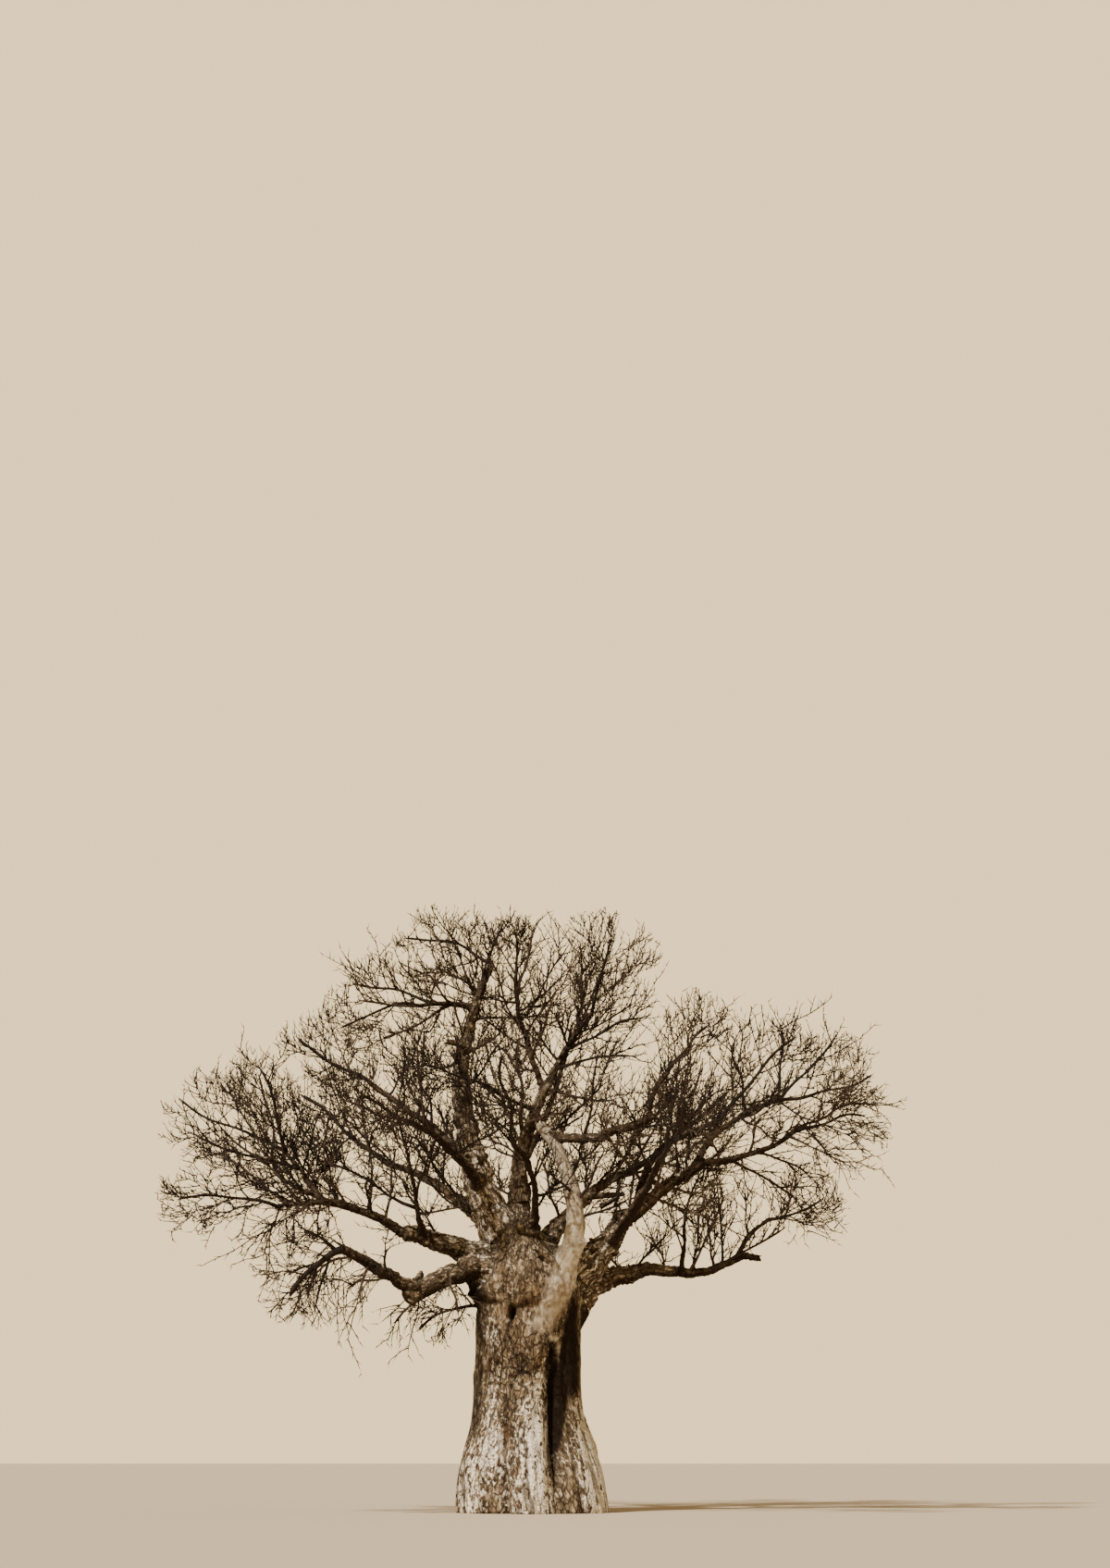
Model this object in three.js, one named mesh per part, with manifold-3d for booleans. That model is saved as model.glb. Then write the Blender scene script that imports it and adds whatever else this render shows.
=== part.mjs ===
// A bare African baobab: a stout fluted trunk on its level foot, the boughs that leave its shoulder,
// and the masses of leafless twigs at the boughs' ends. Millimetres, +Z up, origin at the middle of
// the flat cut at ground level. The side seen first faces -Y, and +X is to its right.
import * as THREE from "three";
import { mergeVertices } from "three/addons/utils/BufferGeometryUtils.js";
import Module from "manifold-3d";

const wasm = await Module();
wasm.setup();

// Driving sizes
const HEIGHT = 18000;
const CROWN_HALF_SPREAD = 11400;
const CROWN_HALF_DEPTH = 9500;
const WAIST_RADIUS = 1540;
const SEAM_GAP = 0.3;

// Trunk
const TRUNK_TOP = 0.465 * HEIGHT;
const TRUNK_SHOULDER = 0.35 * HEIGHT;
const TRUNK_STEP_LEFT = 0.011 * HEIGHT;
const TRUNK_STEP_HEIGHT = 0.07 * HEIGHT;
const DOME_STEP_LEFT = 0.02 * HEIGHT;
const DOME_FULLNESS = 0.97;
const FOOT_SPREAD = 0.36 * WAIST_RADIUS;
const FOOT_HEIGHT = 1.17 * WAIST_RADIUS;
const FOOT_SOFTNESS = 0.33 * WAIST_RADIUS;
const COLUMN_BULGE = 0.07;
const COLUMN_BULGE_AT_FOOT = 0.08;
const TRUNK_STRETCHES = 11;
// The folds between the trunk's columns: bearing in degrees round from the front at the waist, lean
// in degrees a metre, depth, and the heights that it fades out at
const FOLDS = [
  { bearing: -25, lean: -1, depth: 120, low: 300, high: 3900 },
  { bearing: 30, lean: 3, depth: 320, low: 900, high: 4900 },
  { bearing: 118, lean: -1, depth: 180, low: -900, high: 5600 },
  { bearing: 165, lean: 1, depth: 140, low: -900, high: 6200 },
  { bearing: 207, lean: 0, depth: 180, low: -900, high: 5400 },
  { bearing: 250, lean: 1, depth: 150, low: -900, high: 6000 },
];
const FOLD_FADE = 900;
const WAIST_HEIGHT = 2 * WAIST_RADIUS;
const METRE = 1000;
// Where the edges of a column stand, in shares of the way round from one fold to the next
const COLUMN_EDGES = [0, 0.12, 0.37, 0.63, 0.88];
const TRUNK_FACES = FOLDS.length * COLUMN_EDGES.length;

// Boughs
const BOUGH_TAPER = 1.35;
const COLLAR_SWELL = 0.4;
const COLLAR_SHARE = 0.9;
const COLLAR_WITHIN_PARENT = 0.9;
const STOUT_THICKNESS = 420;
const STOUT_SIDES = 8;
const SLIM_SIDES = 6;
const BOUGH_STRETCHES = 4;

// Each bough: the limb that it leaves, how far along that limb, the place of its tip in percent of
// the crown's half spread, half depth and height, the bow of its middle in percent of its own
// length, its thickness at the root and the tip, and its taper where that isn't the usual one.
const BOUGHS = [
  { name: "left_leader", from: "trunk", at: 0.81,
    tip: [-11.5, -3, 90], bow: [-15, 0, 0], thick: [1080, 130], taper: 0.9 },
  { name: "top_left_arm", from: "left_leader", at: 0.85,
    tip: [-31, -10, 82], bow: [0, 0, 8], thick: [220, 120] },
  { name: "upper_left_bough", from: "left_leader", at: 0.38,
    tip: [-45, 21, 71], bow: [8, 0, -4], thick: [290, 160] },
  { name: "front_left_bough", from: "left_leader", at: 0.28,
    tip: [-30, -50, 59], bow: [0, 0, 6], thick: [330, 150] },
  { name: "mid_left_bough", from: "trunk", at: 0.8,
    tip: [-34, -9, 44], bow: [0, 0, 4], thick: [900, 480] },
  { name: "mid_left_reach", from: "mid_left_bough", at: 1,
    tip: [-56, -16, 49], bow: [0, 0, 5], thick: [300, 200] },
  { name: "mid_left_riser", from: "mid_left_reach", at: 1,
    tip: [-67, -6, 58], bow: [9, 0, -6], thick: [180, 120] },
  { name: "mid_left_arm", from: "mid_left_reach", at: 0.86,
    tip: [-65, -32, 47], bow: [0, 0, 3], thick: [170, 120] },
  { name: "back_left_riser", from: "mid_left_reach", at: 0.6,
    tip: [-71, 21, 55.5], bow: [0, 0, -3], thick: [170, 120] },
  { name: "mid_left_stem", from: "mid_left_bough", at: 0.86,
    tip: [-31, -20, 51], bow: [0, -8, 0], thick: [220, 130] },
  { name: "low_left_bough", from: "trunk", at: 0.755,
    tip: [-32, -23, 33], bow: [0, 0, 16], thick: [720, 540] },
  { name: "low_left_forearm", from: "low_left_bough", at: 0.91,
    tip: [-47.5, -36, 40], bow: [0, 0, 0], thick: [420, 260] },
  { name: "pale_stem", from: "trunk", at: 0.62,
    tip: [1.5, 1.5, 62.5], bow: [20, -17, 0], thick: [880, 360] },
  { name: "shelf_bough", from: "pale_stem", at: 0.94,
    tip: [31, -27, 62], bow: [0, 0, -8], thick: [320, 240] },
  { name: "shelf_riser", from: "shelf_bough", at: 0.95,
    tip: [34.5, -34, 68.5], bow: [-8, 0, 0], thick: [180, 130] },
  { name: "middle_stem", from: "trunk", at: 0.9,
    tip: [4.5, 4, 71], bow: [-10, 0, -1], thick: [760, 270] },
  { name: "centre_left_leader", from: "middle_stem", at: 0.91,
    tip: [-5.5, 8, 87.5], bow: [-4, 0, 0], thick: [210, 130] },
  { name: "centre_right_leader", from: "middle_stem", at: 1,
    tip: [15.5, 0, 82], bow: [-3, 0, 0], thick: [230, 120] },
  { name: "centre_arm", from: "middle_stem", at: 0.79,
    tip: [-12, -13, 68], bow: [0, 0, -4], thick: [150, 110] },
  { name: "front_stem", from: "trunk", at: 0.86,
    tip: [-5, -34, 56.5], bow: [10, -4, 10], thick: [260, 150] },
  { name: "right_bough", from: "trunk", at: 0.72,
    tip: [23, -3, 48], bow: [20, 0, 4], thick: [1100, 520] },
  { name: "right_reach", from: "right_bough", at: 0.9,
    tip: [44, -10, 55.5], bow: [0, 0, 0], thick: [440, 320] },
  { name: "right_fork_low", from: "right_reach", at: 1,
    tip: [68, -19, 60], bow: [0, 0, -9], thick: [250, 130] },
  { name: "right_fork_high", from: "right_reach", at: 0.92,
    tip: [70, 25, 69], bow: [-8, 6, 6], thick: [230, 130] },
  { name: "right_riser", from: "right_reach", at: 0.24,
    tip: [47, -34, 60.5], bow: [-15, 10, 8], thick: [290, 150] },
  { name: "front_right_bough", from: "right_bough", at: 0.75,
    tip: [31, -53, 53], bow: [6, 0, 4], thick: [360, 160] },
  { name: "low_right_bough", from: "trunk", at: 0.68,
    tip: [31, 10, 39], bow: [0, 0, 4], thick: [1250, 420] },
  { name: "low_right_forearm", from: "low_right_bough", at: 1,
    tip: [58, 21, 42], bow: [0, 0, -10], thick: [400, 180] },
  { name: "low_right_spur", from: "low_right_forearm", at: 0.86,
    tip: [64, 24, 48], bow: [-5, 0, 6], thick: [160, 120] },
  { name: "low_right_riser", from: "low_right_forearm", at: 0.3,
    tip: [40, 5, 46], bow: [0, 0, 4], thick: [150, 110] },
  { name: "back_right_bough", from: "trunk", at: 0.82,
    tip: [27, 55, 58], bow: [0, 0, 8], thick: [620, 200] },
  { name: "back_bough", from: "trunk", at: 0.88,
    tip: [-4, 63, 66], bow: [0, -6, 0], thick: [580, 180] },
  { name: "back_left_bough", from: "trunk", at: 0.78,
    tip: [-43, 59, 60], bow: [4, 0, 6], thick: [620, 200] },
  { name: "back_high_bough", from: "middle_stem", at: 0.45,
    tip: [8.5, 42, 78.5], bow: [0, 8, -5], thick: [280, 140] },
];

// Masses of twigs. Each has one stem, given as a bough is, and keeps within a ball round a heart
// part of the way along that stem. The twigs of a mass lift, or droop where the lift is negative.
const MASSES = [
  { name: "top_left_twigs", from: "top_left_arm",
    tip: [-52, -21, 77], bow: [0, 0, 8], heart: 0.5, room: 1850 },
  { name: "crest_left_twigs", from: "left_leader",
    tip: [-37, 2, 95], bow: [3, 0, 10], heart: 0.55, room: 1700 },
  { name: "upper_left_twigs", from: "upper_left_bough",
    tip: [-68, 29, 81], bow: [0, 0, -4], heart: 0.6, room: 1900 },
  { name: "far_left_high_twigs", from: "mid_left_riser",
    tip: [-96, -4, 67], bow: [0, 0, -3], heart: 0.6, room: 1950 },
  { name: "far_left_twigs", from: "mid_left_arm",
    tip: [-89, -44, 47.5], bow: [0, 0, 6], heart: 0.58, room: 1900, lift: 0.05 },
  { name: "back_far_left_twigs", from: "back_left_riser",
    tip: [-80, 37, 75], bow: [4, 0, 0], heart: 0.65, room: 2000 },
  { name: "left_inner_twigs", from: "mid_left_stem",
    tip: [-35, -31, 62], bow: [0, 0, 0], heart: 0.6, room: 1600 },
  { name: "low_left_twigs", from: "low_left_forearm",
    tip: [-60, -46, 32.5], bow: [0, 0, 10], heart: 0.55, room: 1900, lift: -0.25 },
  { name: "trunk_spray_twigs", from: "trunk", at: 0.76, clear: 0.42,
    tip: [-30, -14, 28], bow: [0, 0, 12], heart: 0.5, room: 1300, lift: -0.3 },
  { name: "front_left_twigs", from: "front_left_bough",
    tip: [-42, -80, 61], bow: [0, 0, 0], heart: 0.5, room: 2300 },
  { name: "crest_twigs", from: "centre_left_leader",
    tip: [-6, 8, 98], bow: [4, 0, 0], heart: 0.45, room: 1600 },
  { name: "crest_right_twigs", from: "centre_right_leader",
    tip: [21, -6, 95], bow: [0, 0, 0], heart: 0.52, room: 2100 },
  { name: "centre_left_twigs", from: "centre_arm",
    tip: [-29, -34, 70], bow: [0, 0, 0], heart: 0.5, room: 1800 },
  { name: "upper_right_twigs", from: "shelf_riser",
    tip: [45, -40, 76], bow: [-3, 0, 0], heart: 0.5, room: 1900 },
  { name: "front_twigs", from: "front_stem",
    tip: [-8, -74, 68], bow: [0, 0, 0], heart: 0.55, room: 2300 },
  { name: "right_high_twigs", from: "right_riser",
    tip: [68, -34, 74.5], bow: [0, 0, 4], heart: 0.6, room: 1900 },
  { name: "far_right_high_twigs", from: "right_fork_high",
    tip: [96, 31, 74], bow: [0, 0, -4], heart: 0.58, room: 1900 },
  { name: "far_right_twigs", from: "right_fork_low",
    tip: [86, -27, 62], bow: [0, 0, 4], heart: 0.5, room: 1900, lift: -0.08 },
  { name: "front_right_twigs", from: "front_right_bough",
    tip: [37, -86, 60], bow: [0, 0, 0], heart: 0.5, room: 2250 },
  { name: "low_right_twigs", from: "low_right_spur",
    tip: [80, 32, 52], bow: [0, 0, -6], heart: 0.5, room: 1800 },
  { name: "right_under_twigs", from: "low_right_riser",
    tip: [44, 0, 54], bow: [-6, 0, 0], heart: 0.4, room: 1700 },
  { name: "back_right_twigs", from: "back_right_bough",
    tip: [58, 82, 75], bow: [0, 0, 0], heart: 0.55, room: 2600 },
  { name: "back_twigs", from: "back_bough",
    tip: [-6, 88, 87], bow: [0, 0, 0], heart: 0.5, room: 2500 },
  { name: "back_left_twigs", from: "back_left_bough",
    tip: [-72, 80, 75], bow: [0, 0, 0], heart: 0.55, room: 2600 },
  { name: "back_high_twigs", from: "back_high_bough",
    tip: [20.5, 53, 96], bow: [0, 0, 0], heart: 0.5, room: 2200 },
];

// Twigs
const TWIG_SIDES = 3;
const STEM_STRETCHES = 3;
const STEM_END_SHARE = 0.3;
const TRUNK_SPRAY_RADIUS = WAIST_RADIUS / 24;
const GOLDEN_TURN = 2.39996;
const TWIG_LEVELS = [
  { count: 8, first: 0.14, last: 0.95, length: 0.64, leave: 0.85, stretches: 2 },
  { count: 4, first: 0.3, last: 0.95, length: 0.6, leave: 0.8, stretches: 1 },
];
const PLACE_SPREAD = 0.6;
const LENGTH_SPREAD = 0.5;
const LEAVE_SPREAD = 0.35;
const TURN_SPREAD = 1.2;
const TWIG_LIFT = 0.22;
const LIFT_SPREAD = 0.6;
const TWIG_SWAY = 0.3;
const TWIG_THINNING = 0.62;
const LENGTH_TRIES = [1, 0.72, 0.5];
const TWIG_MARGIN = 12;

// Chance: the first seed, the step from stem to stem, the number of each draw, and the mixing steps
const SEED = 1863;
const SEED_STEP = 7919;
const DRAW = { lift: 0, sway: 1, place: 2, turn: 3, leave: 4, length: 5, stemTurn: 6, child: 100 };
const MIXERS = [0x9e3779b1, 0x85ebca6b, 0xc2b2ae35];
const CHANCE_RANGE = 2 ** 32;

const UP = new THREE.Vector3(0, 0, 1);
const PERCENT = 0.01;
const FULL_TURN = 2 * Math.PI;
const TINY = 1e-6;
const MERGE_WITHIN = SEAM_GAP / 6;

const bark = new THREE.MeshStandardMaterial({ color: 0x7a6248, roughness: 0.95, metalness: 0 });
const twigBark = new THREE.MeshStandardMaterial({ color: 0x4a3626, roughness: 0.96, metalness: 0 });

// Reshapes a cylinder of the given sides: place() gets each vertex's share along the length, its
// direction round the axis, and whether it lies on the rim.
function reshapedCylinder(sides, stretches, pointed, place) {
  const geometry = new THREE.CylinderGeometry(pointed ? 0 : 1, 1, 1, sides, stretches);
  const vertices = geometry.attributes.position;
  const vertex = new THREE.Vector3();
  for (let i = 0; i < vertices.count; i += 1) {
    vertex.fromBufferAttribute(vertices, i);
    const share = vertex.y + 0.5;
    const onRim = Math.hypot(vertex.x, vertex.z) > TINY;
    const placed = place(share, Math.atan2(vertex.x, vertex.z), onRim);
    vertices.setXYZ(i, placed.x, placed.y, placed.z);
  }
  return toSolid(geometry);
}

function toSolid(geometry) {
  geometry.deleteAttribute("normal");
  geometry.deleteAttribute("uv");
  const merged = mergeVertices(geometry);
  const vertProperties = Float32Array.from(merged.attributes.position.array);
  const triVerts = Uint32Array.from(merged.index.array);
  return new wasm.Manifold(new wasm.Mesh({ numProp: 3, vertProperties, triVerts }));
}

function domeRise(z) {
  return Math.max(0, (z - TRUNK_SHOULDER) / (TRUNK_TOP - TRUNK_SHOULDER));
}

// The trunk's middle steps to the left just over the foot, and again in the dome at its top.
function trunkAxis(z) {
  const step = TRUNK_STEP_LEFT * (1 - Math.exp(-z / TRUNK_STEP_HEIGHT));
  return new THREE.Vector3(-step - DOME_STEP_LEFT * domeRise(z) ** 2, 0, z);
}

// How much of the foot's spread is left at a height: all of it low down, none at the waist
function footShare(z) {
  return 1 / (1 + Math.exp((z - FOOT_HEIGHT) / FOOT_SOFTNESS));
}

function trunkRadius(z) {
  return (WAIST_RADIUS + FOOT_SPREAD * footShare(z)) * (1 - DOME_FULLNESS * domeRise(z) ** 2);
}

function foldBearing(fold, z) {
  return THREE.MathUtils.degToRad(fold.bearing + (fold.lean * (z - WAIST_HEIGHT)) / METRE);
}

function foldDepth(fold, z) {
  const fadeIn = THREE.MathUtils.smoothstep(z, fold.low - FOLD_FADE, fold.low + FOLD_FADE);
  const fadeOut = THREE.MathUtils.smoothstep(z, fold.high - FOLD_FADE, fold.high);
  return fold.depth * fadeIn * (1 - fadeOut);
}

// The columns between folds stand out most at the foot, where each runs into a root.
function trunkSolid(grow) {
  const place = (share, angle, onRim) => {
    const face = Math.round((angle / FULL_TURN + 1) * TRUNK_FACES) % TRUNK_FACES;
    const column = Math.floor(face / COLUMN_EDGES.length);
    const across = COLUMN_EDGES[face % COLUMN_EDGES.length];
    const z = share * TRUNK_TOP;
    const last = column === FOLDS.length - 1;
    const start = foldBearing(FOLDS[column], z);
    const end = foldBearing(FOLDS[last ? 0 : column + 1], z) + (last ? FULL_TURN : 0);
    const bearing = start + (end - start) * across;
    const bulge = COLUMN_BULGE + COLUMN_BULGE_AT_FOOT * footShare(z);
    const swell = 1 + bulge * (Math.sin(Math.PI * across) - 0.5);
    const cut = across === 0 ? foldDepth(FOLDS[column], z) * (1 - domeRise(z)) : 0;
    const radius = onRim ? trunkRadius(z) * swell - cut + grow : 0;
    const middle = trunkAxis(z);
    middle.z += share === 1 ? grow : 0;
    return middle.add(new THREE.Vector3(radius * Math.sin(bearing), -radius * Math.cos(bearing), 0));
  };
  return reshapedCylinder(TRUNK_FACES, TRUNK_STRETCHES, false, place);
}

function crownPoint(percents) {
  return new THREE.Vector3(
    percents[0] * PERCENT * CROWN_HALF_SPREAD,
    percents[1] * PERCENT * CROWN_HALF_DEPTH,
    percents[2] * PERCENT * HEIGHT,
  );
}

// A limb is a bowed line with a radius at each end. A limb that carries on from another's tip
// starts a seam's gap beyond it, square to it. Any other starts on its parent's middle line, or
// clear of it by a share of the way to its tip.
function limbLine(row, parent) {
  const carriesOn = (row.at ?? 1) === 1;
  const start = parent ? parent.line.getPointAt(row.at ?? 1) : trunkAxis(row.at * TRUNK_TOP);
  const seam = carriesOn ? parent.line.getTangentAt(1) : null;
  if (seam) {
    start.addScaledVector(seam, SEAM_GAP);
  }
  const tip = crownPoint(row.tip);
  if (row.clear) {
    start.lerp(tip, row.clear);
  }
  const length = tip.distanceTo(start);
  const bow = new THREE.Vector3(...row.bow).multiplyScalar(2 * PERCENT * length);
  const control = start.clone().add(tip).multiplyScalar(0.5).add(bow);
  return { line: new THREE.QuadraticBezierCurve3(start, control, tip), seam, length };
}

function limbRadius(limb, share) {
  const exponent = limb.taper ?? BOUGH_TAPER;
  const thinned = limb.tipRadius + (limb.rootRadius - limb.tipRadius) * (1 - share) ** exponent;
  const beyond = Math.max(0, share * limb.length - limb.hidden);
  return thinned * (1 + limb.collar * Math.exp(-beyond / (COLLAR_SHARE * limb.rootRadius)));
}

function limbSolid(limb, grow) {
  const { tangents, normals, binormals } = limb.line.computeFrenetFrames(limb.stretches, false);
  if (limb.seam) {
    normals[0].projectOnPlane(limb.seam).normalize();
    binormals[0].crossVectors(limb.seam, normals[0]);
  }
  const place = (share, angle, onRim) => {
    const ring = Math.round(share * limb.stretches);
    const middle = limb.line.getPointAt(ring / limb.stretches);
    if (share === 1) {
      middle.addScaledVector(tangents[ring], grow);
    }
    if (share === 0) {
      middle.addScaledVector(limb.seam ?? tangents[0], -grow);
    }
    const radius = onRim ? limbRadius(limb, share) + grow : 0;
    middle.addScaledVector(normals[ring], radius * Math.sin(angle));
    return middle.addScaledVector(binormals[ring], -radius * Math.cos(angle));
  };
  return reshapedCylinder(limb.sides, limb.stretches, limb.tipRadius === 0, place);
}

function largestPiece(solid) {
  const pieces = solid.decompose();
  return pieces.reduce((best, piece) => (piece.volume() > best.volume() ? piece : best));
}

// Random numbers that depend only on a twig's own seed, so that finer twigs change none before them
function chance(seed, draw) {
  let bits = Math.imul(seed ^ Math.imul(draw + 1, MIXERS[0]), MIXERS[1]);
  bits ^= bits >>> 13;
  bits = Math.imul(bits, MIXERS[2]);
  return ((bits ^ (bits >>> 16)) >>> 0) / CHANCE_RANGE;
}

// Closest distance of two straight stretches, less the thickness that each has there
function stretchGap(a, b) {
  const d1 = b.to.clone().sub(b.from);
  const d2 = a.to.clone().sub(a.from);
  const r = b.from.clone().sub(a.from);
  const lengthB = d1.lengthSq();
  const lengthA = d2.lengthSq();
  const across = d1.dot(d2);
  const shareOut = lengthA * lengthB - across * across;
  let s = 0;
  if (shareOut > TINY) {
    s = THREE.MathUtils.clamp((across * d2.dot(r) - d1.dot(r) * lengthA) / shareOut, 0, 1);
  }
  const t = THREE.MathUtils.clamp((across * s + d2.dot(r)) / lengthA, 0, 1);
  s = THREE.MathUtils.clamp((across * t - d1.dot(r)) / lengthB, 0, 1);
  const near = b.from.clone().addScaledVector(d1, s);
  const far = a.from.clone().addScaledVector(d2, t);
  return near.distanceTo(far) - Math.max(a.radius, a.endRadius) - Math.max(b.radius, b.endRadius);
}

function limbStretches(limb, owner) {
  const list = [];
  for (let i = 0; i < limb.stretches; i += 1) {
    const share = i / limb.stretches;
    const next = (i + 1) / limb.stretches;
    list.push({
      owner,
      from: limb.line.getPointAt(share),
      to: limb.line.getPointAt(next),
      radius: limbRadius(limb, share),
      endRadius: limbRadius(limb, next),
    });
  }
  return list;
}

function trunkStretches() {
  const list = [];
  const swell = 1 + COLUMN_BULGE;
  for (let i = 0; i < TRUNK_STRETCHES; i += 1) {
    const low = (i / TRUNK_STRETCHES) * TRUNK_TOP;
    const high = ((i + 1) / TRUNK_STRETCHES) * TRUNK_TOP;
    list.push({
      owner: "trunk",
      from: trunkAxis(low),
      to: trunkAxis(high),
      radius: trunkRadius(low) * swell,
      endRadius: trunkRadius(high) * swell,
    });
  }
  return list;
}

// A mass keeps to its ball, to its own side of the planes that part it from its neighbours, and
// inside the crown's spread, depth and height.
function keepsToItsSpace(mass, point, margin, masses) {
  const own = point.distanceTo(mass.heart);
  const outside = Math.abs(point.x) > CROWN_HALF_SPREAD || Math.abs(point.y) > CROWN_HALF_DEPTH;
  if (own > mass.room - margin || outside || point.z > HEIGHT) {
    return false;
  }
  return masses.every((other) => {
    if (other === mass) {
      return true;
    }
    const apart = other.heart.distanceTo(mass.heart);
    const theirs = point.distanceToSquared(other.heart) - other.room ** 2;
    return theirs - (own ** 2 - mass.room ** 2) > 2 * apart * margin;
  });
}

function twigLine(start, direction, length, seed, lift) {
  const side = new THREE.Vector3().crossVectors(direction, UP);
  const bend = UP.clone().multiplyScalar(lift * (1 + LIFT_SPREAD * (2 * chance(seed, DRAW.lift) - 1)));
  bend.addScaledVector(side, TWIG_SWAY * (2 * chance(seed, DRAW.sway) - 1));
  const control = start.clone().addScaledVector(direction, 0.5 * length);
  const tip = start.clone().addScaledVector(direction, length).addScaledVector(bend, length);
  return new THREE.QuadraticBezierCurve3(start, control, tip);
}

// The twigs of one level grow from a twig of the level before, turning round it by the golden
// angle. A twig that would leave the mass's space or come near a limb is tried shorter, then
// skipped with all that it would bear.
function growTwigs(parent, level, mass, masses, obstacles) {
  if (level === TWIG_LEVELS.length) {
    return [];
  }
  const rule = TWIG_LEVELS[level];
  const twigs = [];
  for (let i = 0; i < rule.count; i += 1) {
    const seed = Math.floor(chance(parent.seed, DRAW.child + i) * CHANCE_RANGE) | 0;
    const place = (i + PLACE_SPREAD * chance(seed, DRAW.place)) / (rule.count - 1 + PLACE_SPREAD);
    const share = rule.first + (rule.last - rule.first) * place;
    const start = parent.line.getPoint(share);
    const along = parent.line.getTangent(share);
    const side = new THREE.Vector3().crossVectors(along, UP).normalize();
    const over = new THREE.Vector3().crossVectors(side, along);
    const turn = parent.turn + i * GOLDEN_TURN + TURN_SPREAD * (chance(seed, DRAW.turn) - 0.5);
    const leave = rule.leave + LEAVE_SPREAD * (2 * chance(seed, DRAW.leave) - 1);
    const direction = along.clone().multiplyScalar(Math.cos(leave));
    direction.addScaledVector(side, Math.sin(leave) * Math.cos(turn));
    direction.addScaledVector(over, Math.sin(leave) * Math.sin(turn));
    const lengthShare = rule.length * (1 + LENGTH_SPREAD * (chance(seed, DRAW.length) - 0.5));
    const rootRadius = TWIG_THINNING * limbRadius(parent, share);
    for (const part of LENGTH_TRIES) {
      const length = part * lengthShare * parent.length;
      const line = twigLine(start, direction, length, seed, mass.lift);
      const twig = {
        line, length, seed, turn, rootRadius, tipRadius: 0, hidden: 0, collar: 0,
        sides: TWIG_SIDES, stretches: rule.stretches,
      };
      if (hasRoom(twig, mass, masses, obstacles)) {
        twigs.push(twig, ...growTwigs(twig, level + 1, mass, masses, obstacles));
        break;
      }
    }
  }
  return twigs;
}

function hasRoom(twig, mass, masses, obstacles) {
  const points = [twig.line.getPoint(0), twig.line.getPoint(0.5), twig.line.getPoint(1)];
  const margin = twig.rootRadius + TWIG_MARGIN;
  if (!points.every((point) => keepsToItsSpace(mass, point, margin, masses))) {
    return false;
  }
  for (let i = 0; i < 2; i += 1) {
    const radius = twig.rootRadius;
    const stretch = { from: points[i], to: points[i + 1], radius, endRadius: radius };
    const near = (other) => other.owner !== mass.name && stretchGap(stretch, other) < TWIG_MARGIN;
    if (obstacles.some(near)) {
      return false;
    }
  }
  return true;
}

function toMesh(name, solid, root, material) {
  const { vertProperties, triVerts } = solid.simplify(MERGE_WITHIN).getMesh();
  const geometry = new THREE.BufferGeometry();
  geometry.setAttribute("position", new THREE.BufferAttribute(vertProperties, 3));
  geometry.setIndex(new THREE.BufferAttribute(triVerts, 1));
  geometry.translate(-root.x, -root.y, -root.z);
  geometry.computeVertexNormals();
  const mesh = new THREE.Mesh(geometry, material);
  mesh.name = name;
  mesh.position.copy(root);
  return mesh;
}

const baobab = new THREE.Group();
const trunk = trunkSolid(0);
baobab.add(toMesh("trunk", trunk, new THREE.Vector3(), bark));

// Boughs, each cut to fit the limbs made before it
const limbs = {};
const cutters = [trunkSolid(SEAM_GAP)];
for (const row of BOUGHS) {
  const parent = limbs[row.from];
  const limb = limbLine(row, parent);
  const parentRadius = parent ? limbRadius(parent, row.at) : trunkRadius(row.at * TRUNK_TOP);
  limb.rootRadius = row.thick[0] / 2;
  limb.tipRadius = row.thick[1] / 2;
  limb.taper = row.taper;
  limb.hidden = limb.seam ? 0 : parentRadius;
  const roomToSwell = (COLLAR_WITHIN_PARENT * parentRadius) / limb.rootRadius - 1;
  limb.collar = limb.seam ? 0 : THREE.MathUtils.clamp(roomToSwell, 0, COLLAR_SWELL);
  limb.sides = row.thick[0] > STOUT_THICKNESS ? STOUT_SIDES : SLIM_SIDES;
  limb.stretches = BOUGH_STRETCHES;
  limbs[row.name] = limb;
  const cut = cutters.reduce((solid, cutter) => solid.subtract(cutter), limbSolid(limb, 0));
  baobab.add(toMesh(row.name, largestPiece(cut), limb.line.v0, bark));
  cutters.push(limbSolid(limb, SEAM_GAP));
}

// Stems of the masses, then the twigs that fit round every limb
const masses = MASSES.map((row, index) => {
  const parent = limbs[row.from];
  const stem = limbLine(row, parent);
  stem.rootRadius = parent ? parent.tipRadius : TRUNK_SPRAY_RADIUS;
  stem.tipRadius = STEM_END_SHARE * stem.rootRadius;
  stem.hidden = 0;
  stem.collar = 0;
  stem.sides = TWIG_SIDES;
  stem.stretches = STEM_STRETCHES;
  stem.seed = SEED + SEED_STEP * index;
  stem.turn = FULL_TURN * chance(stem.seed, DRAW.stemTurn);
  const heart = stem.line.getPoint(row.heart);
  return { name: row.name, stem, heart, room: row.room, lift: row.lift ?? TWIG_LIFT };
});
const obstacles = trunkStretches();
for (const row of BOUGHS) {
  obstacles.push(...limbStretches(limbs[row.name], row.name));
}
for (const mass of masses) {
  obstacles.push(...limbStretches(mass.stem, mass.name));
}
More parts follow.
